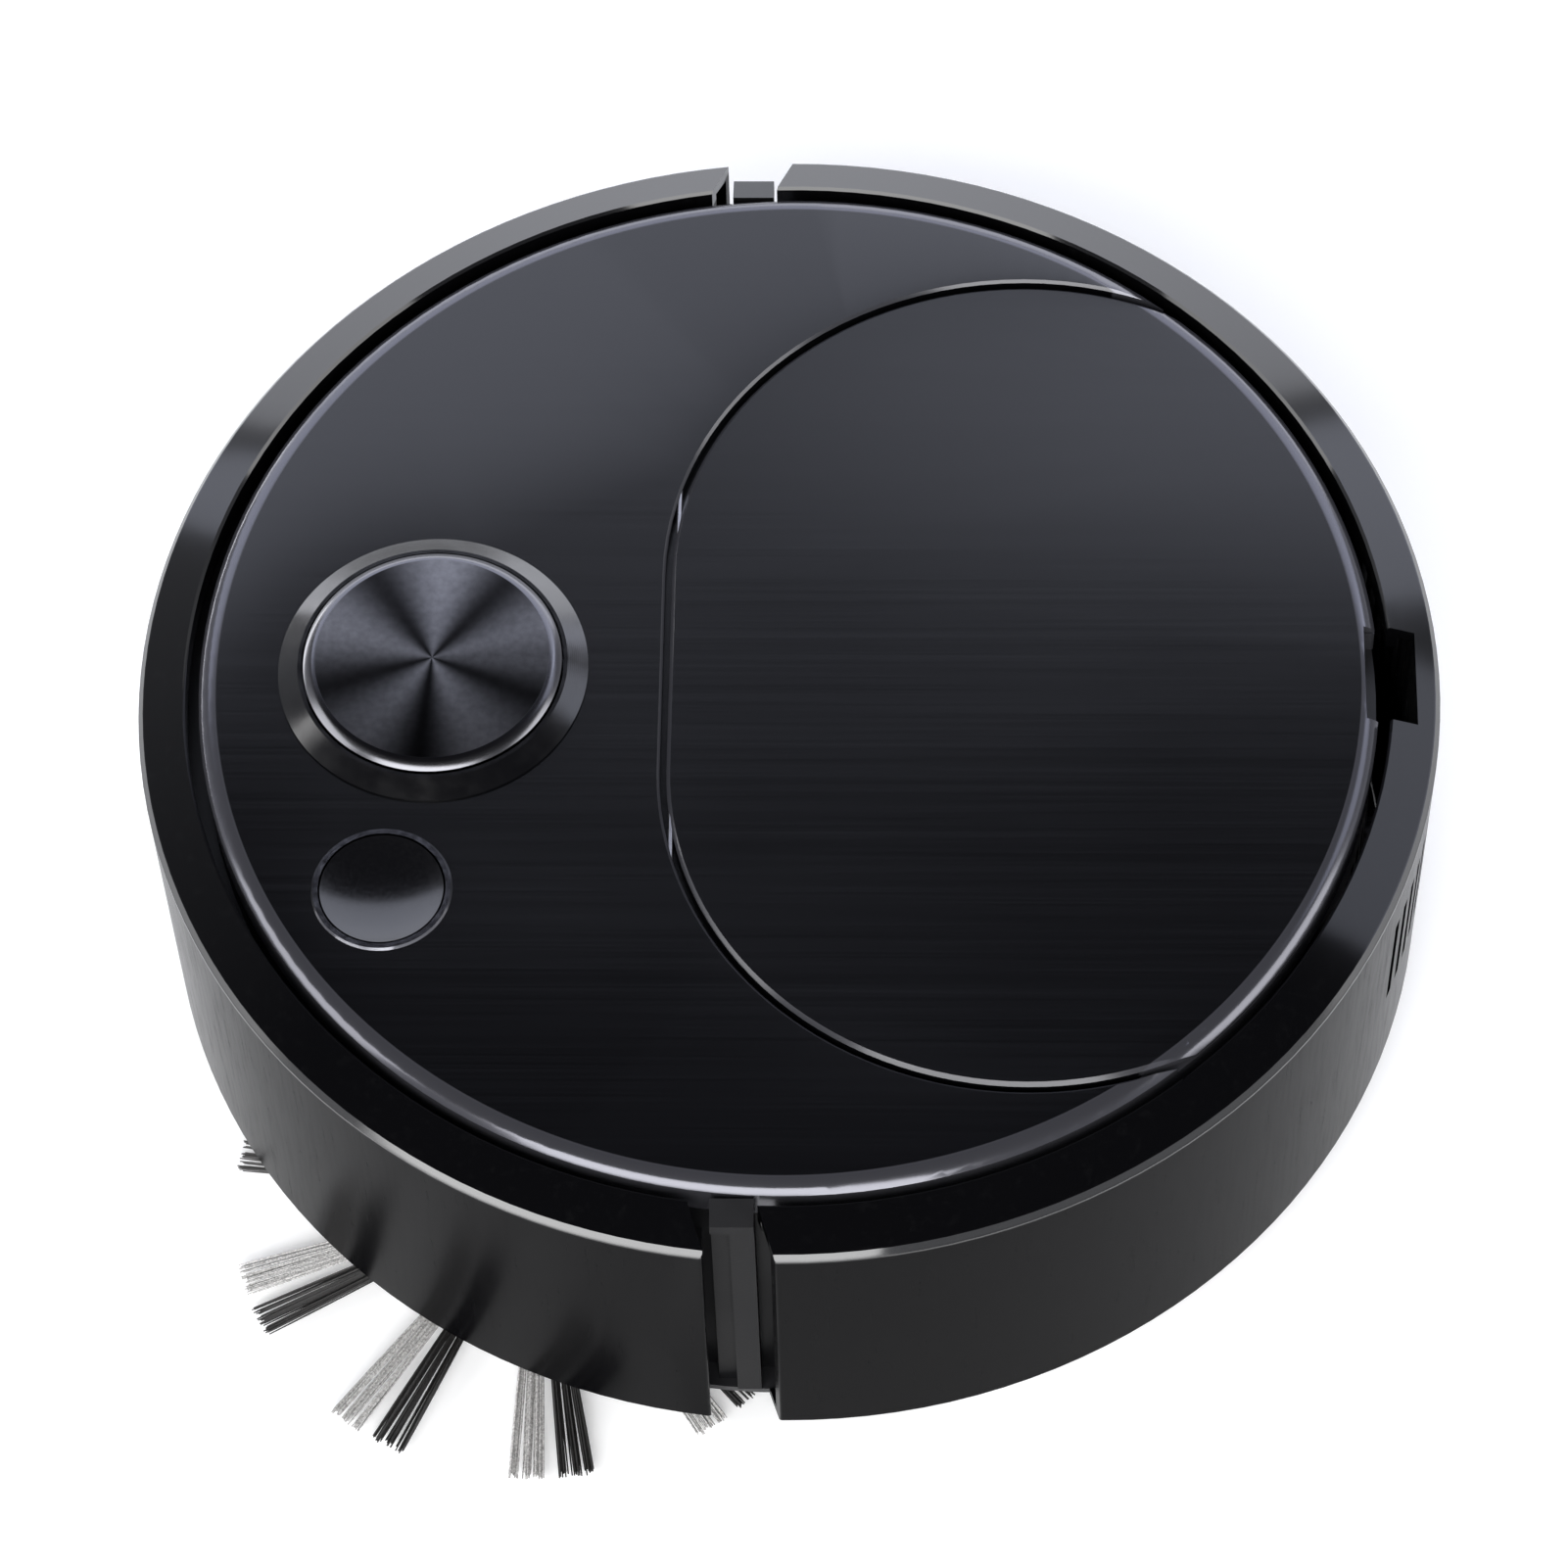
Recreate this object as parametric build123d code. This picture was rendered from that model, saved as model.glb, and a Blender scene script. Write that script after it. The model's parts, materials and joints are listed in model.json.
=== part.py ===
from build123d import *
import math
import os

# Round robot vacuum. Millimetres, z = 0 on the floor, origin under the disc's centre.
# +X is the way it drives (bumper and side brushes), +Y is its left-hand side.

# ---- overall body --------------------------------------------------------------------
Z_TRAY = 7.0  # underside of the base
TRAY_T = 2.5  # base plate thickness
Z_FLOOR_IN = Z_TRAY + TRAY_T  # inner face of the base plate
Z_SHELL = 8.0  # lower edge of bumper and rear shell
Z_RIM = 74.0  # outer top edge of bumper and rear shell
Z_RIM_IN = 77.4  # their inner, higher top edge
Z_COVER = 78.0  # flat top of the cover and the lid
R_RIM = 120.0  # outer radius at the top edge
R_FOOT = 119.3  # outer radius at the lower edge
SKIN = 2.4  # wall of bumper and rear shell
R_TRAY = 113.0  # base plate
R_WALL = 108.4  # inner housing wall, outside
WALL_T = 2.4
R_IN = R_WALL - WALL_T
FLANGE_R = 114.4  # flange round the front of that wall
Z_FLANGE = 60.0
FLANGE_T = 2.0
R_COVER = 108.6  # cover, at the foot of its rounded rim
R_FACE = 105.4  # cover, flat face
RIM_DROP = 1.6  # height of the rounded rim
BUMPER_GAP = 2.4  # cover to bumper, at the top
SHELL_GAP = 2.2  # cover to rear shell, at the top

# ---- lid -----------------------------------------------------------------------------
LID_FRONT = 22.3  # middle of the straight front seam
LID_FLAT = 21.5  # half length of the straight seam
LID_ARC = 66.0  # radius of the two large corners
LID_SEAM = 0.9  # width of the seam, half of it on each side of the outline
SEAM_RELIEF = 0.35  # more on the cover's side, for the lid's swing
LID_T = 2.1
HINGE_INSET = LID_T / 2
PIN_R = 0.5
X_HINGE = LID_FRONT - LID_SEAM / 2 - HINGE_INSET
Z_HINGE = Z_COVER - HINGE_INSET
LID_EDGE = 0.7  # chamfer on the lid's edge
COVER_EDGE = 0.5  # chamfer on the cover's edge
NOTCH_HALF = 10.0  # finger notch, half width
NOTCH_IN = 106.0
NOTCH_OUT = 115.5

# ---- side notches between bumper and rear shell --------------------------------------
X_SHELL_END = 0.6
X_BUMPER_END = 13.0
END_SLANT = math.radians(19.0)  # the end walls lean forward towards the inside
END_ROUND = 0.7  # rounding of their upright outer corners
END_EDGE_MIN = 40.0  # those corners are longer than this
PAD_X0 = 4.4  # block of the housing wall seen between them
PAD_X1 = 12.2
LEDGE_IN = 109.2  # sloped ledge at the top of that block
LEDGE_OUT = 114.2
Z_LEDGE_IN = 76.6
Z_LEDGE_OUT = 75.2

# ---- controls ------------------------------------------------------------------------
X_START = 65.3
START_R = 23.8
START_BASE_R = 28.6
Z_START = 82.0
X_MODE = 72.6
Y_MODE = 47.2
MODE_R = 11.2
MODE_RING_R = 12.8
PRESS = 1.2  # travel of both buttons

# ---- inner deck and board ------------------------------------------------------------
Z_DECK = 56.0
DECK_T = 2.0
Z_BOARD = 60.0
BOARD_T = 1.6
Z_SWITCH = Z_BOARD + BOARD_T + 5.0  # top of the switch stems
Z_STEM = Z_SWITCH + PRESS + 0.15  # foot of the button stems, clear of the switches when pressed

# ---- dust bin and its bay ------------------------------------------------------------
BIN_BACK = -70.0
BIN_FRONT = 8.0
BIN_HALF = 38.0
BIN_WALL = 1.6
Z_BIN = 11.0
Z_BIN_TOP = 71.0
BAY_GAP = 1.2
BAY_T = 1.5
PORT_Z = 31.0  # middle of the dirty air port

# ---- suction mouth -------------------------------------------------------------------
MOUTH_X0 = 12.6
MOUTH_X1 = 26.0
MOUTH_HALF = 32.0
X_SQUEEGEE = 3.0
SQUEEGEE_HALF = 29.0  # ends clear of the side brushes' sweep

# ---- drive wheels --------------------------------------------------------------------
WHEEL_R = 24.0
WHEEL_W = 13.0
X_WHEEL = -33.0
Y_WHEEL = 80.5
X_PIVOT = -67.0
X_MOTOR = X_WHEEL + 12.0
Z_MOTOR = WHEEL_R + 8.0
AXLE_R = 2.0
ARM_Y0 = 60.5
ARM_Y1 = 73.2
EAR_T = 3.0
Z_SPRING = 40.0  # spring seat on the arm

# ---- caster --------------------------------------------------------------------------
X_CASTER = 90.0
CASTER_TRAIL = 4.0
CASTER_R = 8.0
CASTER_W = 7.0
POCKET_R = 13.0

# ---- side brushes --------------------------------------------------------------------
X_BRUSH = 47.0
Y_BRUSH = 70.0
BRUSH_REACH = 58.0
CUP_R = 13.5
CUP_T = 1.3
Z_CUP = 12.5  # top of the brush recess
TUFTS = 10
MODULE = 0.8
GEAR_TEETH = 30
PINION_TEETH = 12
GEAR_Z0 = 13.0
GEAR_T = 4.5
PRESSURE = math.radians(25.0)
MESH_BACKLASH = 0.24

# ---- battery -------------------------------------------------------------------------
BATT_X0 = 32.0
BATT_X1 = 72.0
BATT_HALF = 35.0
CELL_R = 9.1
CELL_L = 65.0
Z_CELL = 19.0

# ---- fan -----------------------------------------------------------------------------
Z_FAN = 33.0
X_FAN = -74.2
FAN_R = 21.5

# ---- small fittings ------------------------------------------------------------------
SCREW_RING_R = 103.2  # circle of the base screws
SCREW_R = 1.3
SCREW_HEAD_R = 3.0
SHAFT_R = 2.5  # swivel pin, brush shafts and arm trunnions
VENT_CENTRES = (165.0, 195.0)  # directions of the two groups of exhaust slots
VENT_STEP = 2.2  # degrees between slots
VENT_HALF = 1.1
VENT_Z0 = 36.0
VENT_Z1 = 62.0
Z_JACK = 19.0
JACK_R = 5.5
PLUG_R = 2.75  # bore for the charger's plug
PLUG_DEPTH = 6.0
TAB_IN = 90.2  # bumper guide tabs, inner end
TAB_Y0 = 41.0
TAB_Y1 = 49.0
TAB_Z0 = 36.0
TAB_Z1 = 39.0
Y_BUMP_SPRING = 22.0
Z_BUMP_SPRING = 40.0
START_HOLE_R = 26.2  # holes in the cover for the two button rings
MODE_HOLE_R = 12.2

RUN = 0.05  # radial running clearance
CLEAR = 0.3  # clearance between separate pieces

SIDES = {"left": 1, "right": -1}


# ---- small helpers -------------------------------------------------------------------
def block(x0, x1, y0, y1, z0, z1):
    """Box from its limits."""
    size = (x1 - x0, y1 - y0, z1 - z0)
    return Pos((x0 + x1) / 2, (y0 + y1) / 2, (z0 + z1) / 2) * Box(*size)


def rod(x, y, z0, z1, r):
    """Upright cylinder."""
    return Pos(x, y, (z0 + z1) / 2) * Cylinder(r, z1 - z0)


def rod_y(x, z, y0, y1, r):
    """Cylinder along Y."""
    return Pos(x, (y0 + y1) / 2, z) * Rot(90, 0, 0) * Cylinder(r, abs(y1 - y0))


def rod_x(y, z, x0, x1, r):
    """Cylinder along X."""
    return Pos((x0 + x1) / 2, y, z) * Rot(0, 90, 0) * Cylinder(r, abs(x1 - x0))


def ring(r_in, r_out, z0, z1):
    """Upright tube centred on the body."""
    return rod(0, 0, z0, z1, r_out) - rod(0, 0, z0 - 1, z1 + 1, r_in)


def turned(points):
    """Solid of revolution about Z from (radius, z) points."""
    outline = Plane.XZ * Polyline(*points, close=True)
    return revolve(make_face(outline), Axis.Z)


def rounded_box(x0, x1, half, z0, z1, radius):
    """Box with rounded upright edges, centred on y = 0."""
    plan = Pos((x0 + x1) / 2, 0, z0) * RectangleRounded(x1 - x0, 2 * half, radius)
    return extrude(plan, z1 - z0)


def both_sides(shape):
    """A shape and its mirror image across the middle plane."""
    return shape + mirror(shape, Plane.XZ)


def mirrored(shape, side):
    """The left-hand shape, or its mirror image for the right."""
    if side > 0:
        return shape
    return mirror(shape, Plane.XZ)


def polar(radius, degrees):
    """Point on a circle about the body's axis."""
    angle = math.radians(degrees)
    return radius * math.cos(angle), radius * math.sin(angle)


def coil(radius, wire, height, turns):
    """Open compression spring standing on z = 0."""
    path = Helix(height / turns, height, radius)
    section = Plane(origin=path @ 0, z_dir=path % 0) * Circle(wire)
    return sweep(section, path)


def lid_plan(offset):
    """D-shaped outline of the lid, grown by the offset; it runs on past the round body at the back."""
    radius = LID_ARC + offset
    x_mid = LID_FRONT - LID_ARC
    front = LID_FRONT + offset
    start = (x_mid, -LID_FLAT - radius)
    end = (x_mid, LID_FLAT + radius)
    diagonal = radius * math.sqrt(0.5)
    lower = ThreePointArc(start, (x_mid + diagonal, -LID_FLAT - diagonal), (front, -LID_FLAT))
    straight = Line((front, -LID_FLAT), (front, LID_FLAT))
    upper = ThreePointArc((front, LID_FLAT), (x_mid + diagonal, LID_FLAT + diagonal), end)
    back_sweep = ThreePointArc(end, (x_mid - diagonal, LID_FLAT + diagonal), (x_mid - radius, LID_FLAT))
    back_line = Line((x_mid - radius, LID_FLAT), (x_mid - radius, -LID_FLAT))
    back_low = ThreePointArc((x_mid - radius, -LID_FLAT), (x_mid - diagonal, -LID_FLAT - diagonal), start)
    return make_face([lower, straight, upper, back_sweep, back_line, back_low])


def lid_prism(offset, z0, z1):
    """Upright prism of the lid's outline."""
    return extrude(Pos(0, 0, z0) * lid_plan(offset), z1 - z0)


# ---- shells --------------------------------------------------------------------------
def skin_profile(gap, foot_in):
    """Section of the outer shell: wall, sloped top and inner lip."""
    lip = R_COVER + gap
    return [
        (foot_in, Z_SHELL),
        (R_FOOT - 1.0, Z_SHELL),
        (R_FOOT, Z_SHELL + 1.4),
        (R_RIM, Z_RIM - 0.9),
        (R_RIM - 0.9, Z_RIM + 0.33),
        (lip + 0.5, Z_RIM_IN),
        (lip, Z_RIM_IN - 0.5),
        (lip, Z_RIM_IN - 6.4),
        (lip + 1.8, Z_RIM_IN - 6.4),
        (lip + 1.8, Z_RIM_IN - 3.0),
        (R_RIM - SKIN, Z_RIM - 2.0),
        (R_FOOT - SKIN, Z_SHELL + 2.0),
        (foot_in, Z_SHELL + 2.0),
    ]


def slanted_end(x_outer, forward):
    """Block that keeps what lies in front of (or behind) a slanted end wall, on both sides."""
    reach = 2 * R_RIM
    lean = math.tan(END_SLANT)
    sign = 1 if forward else -1
    rim_y = math.sqrt(R_RIM**2 - x_outer**2)
    far_x = sign * reach
    corners = [
        (x_outer + rim_y * lean, 0),
        (x_outer - reach * lean + rim_y * lean, reach),
        (far_x, reach),
        (far_x, 0),
    ]
    half = extrude(Pos(0, 0, -10) * make_face(Polyline(*corners, close=True)), 120)
    return both_sides(half)


def vent_slots():
    """Two groups of upright exhaust slots through the rear wall."""
    cutters = []
    slot = block(R_IN - 8, R_RIM + 4, -VENT_HALF, VENT_HALF, VENT_Z0, VENT_Z1)
    for centre in VENT_CENTRES:
        for step in range(-3, 4):
            cutters.append(Rot(0, 0, centre + step * VENT_STEP) * slot)
    return cutters


def round_ends(shell, x_end):
    """Rounds the upright outer corner at each end wall of a shell."""
    corners = []
    for edge in shell.edges():
        middle = edge @ 0.5
        at_end = abs(middle.X - x_end) < 1.0
        if at_end and edge.length > END_EDGE_MIN and math.hypot(middle.X, middle.Y) > R_FOOT:
            corners.append(edge)
    return fillet(corners, END_ROUND)


def make_rear_shell():
    shell = turned(skin_profile(SHELL_GAP, R_TRAY + 0.2))
    shell = round_ends(shell & slanted_end(X_SHELL_END, False), X_SHELL_END)
    finger = block(-NOTCH_OUT, -NOTCH_IN, -NOTCH_HALF, NOTCH_HALF, 66, 90)
    shell = shell - finger - vent_slots()
    return shell - rod_x(0, Z_JACK, -R_RIM - 2, -R_IN, JACK_R + 0.1)


def bumper_tab(side):
    """Guide tab that slides in the housing wall and works the bump switch."""
    return mirrored(block(TAB_IN, 108.2, TAB_Y0, TAB_Y1, TAB_Z0, TAB_Z1), side)


def make_bumper():
    shell = turned(skin_profile(BUMPER_GAP, R_FOOT - SKIN - 0.2))
    shell = round_ends(shell & slanted_end(X_BUMPER_END, True), X_BUMPER_END)
    for side in SIDES.values():
        shell = shell + bumper_tab(side)
    return shell


def spring_seat_x(y):
    """Outer face of the housing wall at a given y."""
    return math.sqrt(R_WALL**2 - y**2)


def make_bumper_springs():
    springs = []
    for y in (-Y_BUMP_SPRING, Y_BUMP_SPRING):
        x0 = spring_seat_x(y) + 0.9
        x1 = math.sqrt((R_FOOT - SKIN) ** 2 - y**2) - 0.5
        springs.append(Pos(x0, y, Z_BUMP_SPRING) * Rot(0, 90, 0) * coil(2.4, 0.35, x1 - x0, 5))
    return Compound(springs)


# ---- base tray -----------------------------------------------------------------------
def wheel_well(side):
    """Slot in the base for one drive wheel."""
    y0 = Y_WHEEL - WHEEL_W / 2 - 1.3
    y1 = Y_WHEEL + WHEEL_W / 2 + 1.3
    reach = WHEEL_R + 2.5
    return mirrored(block(X_WHEEL - reach, X_WHEEL + reach, y0, y1, 0, 20), side)


def pivot_ears(side):
    """Two upright ears that carry one drive arm's trunnions."""
    ears = []
    for y0 in (ARM_Y0 - CLEAR - EAR_T, ARM_Y1 + CLEAR):
        ear = block(X_PIVOT - 4.5, X_PIVOT + 4.5, y0, y0 + EAR_T, Z_FLOOR_IN, WHEEL_R)
        ear = ear + rod_y(X_PIVOT, WHEEL_R, y0, y0 + EAR_T, 4.5)
        ears.append(ear - rod_y(X_PIVOT, WHEEL_R, y0 - 1, y0 + EAR_T + 1, SHAFT_R + RUN))
    return [mirrored(ear, side) for ear in ears]


SCREW_PLACES = [polar(SCREW_RING_R, a) for a in (36, 110, 148, -36, -110, -148)]
DOOR_SCREWS = [(BATT_X0 + 20, BATT_HALF + 4.5), (BATT_X0 + 20, -BATT_HALF - 4.5)]
WINDOW_RING_R = 100.5  # circle of the floor sensor windows
WINDOW_PLACES = [(polar(WINDOW_RING_R, a), a) for a in (12, -12, 62, -62)]


def window_recess(place, grow):
    """Shallow rectangular seat for one floor sensor window."""
    (x, y), angle = place
    shape = Box(6 + grow, 11 + grow, 1.2)
    return Pos(x, y, Z_TRAY + 0.6) * Rot(0, 0, angle) * shape


def make_base_tray():
    edge = [(R_TRAY - 1.5, Z_TRAY), (R_TRAY, Z_TRAY + 1.0), (R_TRAY, Z_FLOOR_IN)]
    tray = turned([(0, Z_TRAY)] + edge + [(0, Z_FLOOR_IN)])
    tray = tray + rod(X_CASTER, 0, Z_TRAY, 24, POCKET_R + 1.4)
    tray = tray - rod(X_CASTER, 0, 0, 22, POCKET_R) + rod(X_CASTER, 0, 22, 36, 5)
    tray = tray - rod(X_CASTER, 0, 20, 40, SHAFT_R + RUN)
    batt_wall = block(BATT_X0 - 1.5, BATT_X1 + 1.5, -BATT_HALF - 1.5, BATT_HALF + 1.5, Z_TRAY, 31)
    tray = tray + (batt_wall - rod(X_CASTER, 0, 0, 40, POCKET_R + 0.5))
    tray = tray - block(BATT_X0, BATT_X1, -BATT_HALF, BATT_HALF, 0, 29.5)
    for x, y in DOOR_SCREWS:
        tray = tray - block(x - 6, x + 6, min(y, 0), max(y, 0), 0, Z_TRAY + 1.6)
        tray = tray - block(x - 6, x + 6, y - 4, y + 4, 0, Z_TRAY + 1.6)
        tray = tray + (rod(x, y, Z_TRAY + 1.6, 20, 3) - rod(x, y, 0, 30, 1.2))
        tray = tray - rod(x, y, 0, 18, 1.2)
    tray = tray - block(MOUTH_X0, MOUTH_X1, -MOUTH_HALF, MOUTH_HALF, 0, 20)
    for side in SIDES.values():
        tray = tray - wheel_well(side)
        cup = rod(X_BRUSH, side * Y_BRUSH, Z_TRAY, Z_CUP, CUP_R + CUP_T)
        tray = tray + (cup & rod(0, 0, 0, 40, R_TRAY))
        tray = tray - rod(X_BRUSH, side * Y_BRUSH, 0, Z_CUP - CUP_T, CUP_R)
        tray = tray - rod(X_BRUSH, side * Y_BRUSH, 0, 40, SHAFT_R + RUN)
        for ear in pivot_ears(side):
            tray = tray + ear
    for x, y in SCREW_PLACES:
        tray = tray - rod(x, y, 0, Z_TRAY + 1.5, SCREW_HEAD_R + CLEAR) - rod(x, y, 0, 40, SCREW_R)
    for place in WINDOW_PLACES:
        tray = tray - window_recess(place, 0.2)
    return tray


def make_base_screws():
    screws = []
    for x, y in SCREW_PLACES:
        head = rod(x, y, Z_TRAY + 0.1, Z_TRAY + 1.5, SCREW_HEAD_R)
        slot = block(x - 1.8, x + 1.8, y - 0.35, y + 0.35, Z_TRAY, Z_TRAY + 0.8)
        cross = block(x - 0.35, x + 0.35, y - 1.8, y + 1.8, Z_TRAY, Z_TRAY + 0.8)
        screws.append(head + rod(x, y, Z_TRAY + 1.5, 21, SCREW_R) - slot - cross)
    for x, y in DOOR_SCREWS:
        head = rod(x, y, Z_TRAY + 0.05, Z_TRAY + 0.6, 2.3)
        slot = block(x - 1.5, x + 1.5, y - 0.3, y + 0.3, Z_TRAY, Z_TRAY + 0.4)
        screws.append(head + rod(x, y, Z_TRAY + 0.6, 16, 1.2) - slot)
    return Compound(screws)


def make_cliff_windows():
    return Compound([window_recess(place, 0) for place in WINDOW_PLACES])


def make_battery_door():
    door = block(BATT_X0 + 0.2, BATT_X1 - 0.2, -BATT_HALF + 0.2, BATT_HALF - 0.2, Z_TRAY, Z_TRAY + 1.6)
    for x, y in DOOR_SCREWS:
        door = door + block(x - 5.8, x + 5.8, min(y, 0), max(y, 0), Z_TRAY, Z_TRAY + 1.6)
        end = y + math.copysign(3.8, y)
        door = door + block(x - 5.8, x + 5.8, min(end, 0), max(end, 0), Z_TRAY, Z_TRAY + 1.6)
    for x, y in DOOR_SCREWS:
        door = door - rod(x, y, 0, 12, 1.2) - rod(x, y, 0, Z_TRAY + 0.6, 2.4)
    for step in range(5):
        x = BATT_X0 + 8 + 6 * step
        door = door - block(x, x + 1.2, -12, 12, Z_TRAY - 1, Z_TRAY + 0.5)
    return door


def make_battery_cells():
    cells = []
    for x in (BATT_X0 + 10.2, BATT_X1 - 10.2):
        cell = rod_y(x, Z_CELL, -CELL_L / 2, CELL_L / 2 - 1.5, CELL_R)
        cells.append(cell + rod_y(x, Z_CELL, CELL_L / 2 - 1.5, CELL_L / 2, 2.8))
    return Compound(cells)


# ---- inner housing -------------------------------------------------------------------
def bay_box(grow, z0, z1):
    """The bin bay, grown outwards by a wall."""
    return rounded_box(
        BIN_BACK - BAY_GAP - grow, BIN_FRONT + BAY_GAP + grow, BIN_HALF + BAY_GAP + grow, z0, z1, 5 + grow
    )


def notch_pad(side):
    """Block on the housing wall, seen in the side notch, with a small sloped ledge on top."""
    pad = block(PAD_X0, PAD_X1, R_WALL - 4, R_WALL + 2.4, Z_FLOOR_IN, 70)
    rib = block(PAD_X0, PAD_X0 + 4.4, R_WALL, R_WALL + 4.6, Z_FLOOR_IN, Z_RIM - 3)
    slope = [
        (LEDGE_IN, 68.0),
        (LEDGE_IN, Z_LEDGE_IN),
        (LEDGE_OUT, Z_LEDGE_OUT),
        (LEDGE_OUT, Z_LEDGE_OUT - 2.6),
        (LEDGE_IN + 1.2, 68.0),
    ]
    section = make_face(Polyline(*slope, close=True))
    ledge = Pos(PAD_X0, 0, 0) * extrude(Plane.YZ * section, PAD_X1 - PAD_X0)
    above_wall = block(0, 20, 0, R_COVER + 0.3, 69.9, 90)
    return mirrored(pad + ledge + (rib - above_wall), side)


def front_flange():
    """Stiffening flange round the front of the housing wall, behind the bumper."""
    flange = ring(R_WALL - 0.5, FLANGE_R, Z_FLANGE, Z_FLANGE + FLANGE_T)
    return flange & block(X_BUMPER_END + 1, R_RIM, -R_RIM, R_RIM, 0, Z_RIM)


def make_mid_housing():
    housing = ring(R_IN, R_WALL, Z_FLOOR_IN, 70) + front_flange()
    for side in SIDES.values():
        housing = housing + notch_pad(side)
    housing = housing + rod(0, 0, Z_DECK, Z_DECK + DECK_T, R_IN + 1)
    housing = housing + bay_box(BAY_T, Z_FLOOR_IN, Z_DECK + DECK_T)
    housing = housing - bay_box(0, Z_FLOOR_IN - 1, 80)
    housing = housing - block(BIN_FRONT, BIN_FRONT + 4, -20.2, 20.2, PORT_Z - 5, PORT_Z + 5)
    housing = housing - rod_x(0, Z_FAN, -76, BIN_BACK, 12)
    for x, y in SCREW_PLACES:
        post = rod(x, y, Z_FLOOR_IN, 26, 3.6) & rod(0, 0, 0, 40, R_WALL - 1)
        housing = housing + post - rod(x, y, 0, 22, SCREW_R)
    for side in SIDES.values():
        slot = block(TAB_IN - 2, 106, TAB_Y0 - 0.4, TAB_Y1 + 0.4, TAB_Z0 - 0.4, TAB_Z1 + 0.4)
        housing = housing - mirrored(slot, side)
    housing = housing - vent_slots() - rod_x(0, Z_JACK, -R_RIM, -R_IN + 2, JACK_R + 0.1)
    for x, y in BOARD_POSTS:
        housing = housing + rod(x, y, Z_DECK + DECK_T, Z_BOARD, 3)
    return housing


BOARD_POSTS = [(40, 50), (40, -50), (94, 22), (94, -22)]


# ---- top cover and lid ---------------------------------------------------------------
def bevelled_disc(z0):
    """Round plate with the rounded rim that the cover and the lid share."""
    foot = (R_COVER, Z_COVER - RIM_DROP)
    crown = (R_FACE, Z_COVER)
    middle = (R_FACE + 0.62 * (R_COVER - R_FACE), Z_COVER - 0.34 * RIM_DROP)
    straight = Polyline(crown, (0, Z_COVER), (0, z0), (R_COVER, z0), foot)
    outline = make_face([straight, ThreePointArc(foot, middle, crown)])
    return revolve(Plane.XZ * outline, Axis.Z)


def make_top_cover():
    cover = bevelled_disc(Z_COVER - 2.4) + ring(R_IN + 0.4, R_COVER, 70, Z_COVER - 2.0)
    seam = LID_SEAM / 2 + SEAM_RELIEF
    cover = cover - lid_prism(seam, Z_COVER - LID_T - 0.6, Z_COVER + 2)
    edge = Pos(0, 0, Z_COVER - COVER_EDGE) * lid_plan(seam)
    cover = cover - extrude(edge, 2 * COVER_EDGE, taper=-45)
    tray = lid_prism(3.0, 72.0, Z_COVER - LID_T - 0.6) & rod(0, 0, 60, 90, R_IN + 1)
    inside = lid_prism(-1.6, 73.6, 90) & rod(0, 0, 60, 90, R_IN - 1.5)
    cover = cover + (tray - inside)
    cover = cover - rounded_box(
        BIN_BACK - 0.8, BIN_FRONT + 0.8, BIN_HALF + 0.8, 60, 75, 5
    )
    cover = cover - block(-R_COVER - 1, -NOTCH_IN, -NOTCH_HALF, NOTCH_HALF, 69, 90)
    cover = cover - rod(X_START, 0, 60, 90, START_HOLE_R) - rod(X_MODE, Y_MODE, 60, 90, MODE_HOLE_R)
    for side in SIDES.values():
        cover = cover - lid_pin(side, PIN_R)
    return cover


def lid_pin(side, radius):
    """One hinge pin, half in the lid and half in the cover."""
    return rod_y(X_HINGE, Z_HINGE, side * 26.0, side * 46.0, radius)


def make_lid_pins():
    return Compound([lid_pin(side, PIN_R) for side in SIDES.values()])


def make_dust_lid():
    z0 = Z_COVER - LID_T
    lid = lid_prism(-LID_SEAM / 2, z0, Z_COVER - LID_EDGE)
    top = Pos(0, 0, Z_COVER - LID_EDGE) * lid_plan(-LID_SEAM / 2)
    lid = lid + extrude(top, LID_EDGE, taper=45)
    lid = lid & bevelled_disc(z0)
    lid = lid - block(-R_COVER - 1, -NOTCH_IN, -NOTCH_HALF, NOTCH_HALF, 60, 90)
    for side in SIDES.values():
        lid = lid - rod_y(X_HINGE, Z_HINGE, side * 25.6, side * 48.0, PIN_R + RUN)
    return lid


# ---- buttons -------------------------------------------------------------------------
def make_start_bezel():
    r_hole = START_R + 0.4
    points = [
        (r_hole, 74.2),
        (START_HOLE_R - 0.2, 74.2),
        (START_HOLE_R - 0.2, Z_COVER),
        (START_BASE_R, Z_COVER),
        (START_BASE_R, Z_COVER + 0.4),
        (r_hole + 0.7, Z_COVER + 2.4),
        (r_hole, Z_COVER + 2.4),
    ]
    return Pos(X_START, 0, 0) * turned(points)


def make_start_cap():
    points = [
        (0, Z_STEM),
        (2.5, Z_STEM),
        (2.5, 79.0),
        (22.0, 79.0),
        (22.0, 71.9),
        (25.4, 71.9),
        (25.4, 73.5),
        (START_R, 73.5),
        (START_R, Z_START - 1.3),
        (START_R - 1.2, Z_START - 0.25),
        (START_R - 2.2, Z_START),
        (0, Z_START),
    ]
    return Pos(X_START, 0, 0) * turned(points)


def make_start_spring():
    z0 = Z_BOARD + BOARD_T + 0.5
    return Pos(X_START, 0, z0) * coil(7.0, 0.45, 78.4 - z0, 7)


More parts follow.
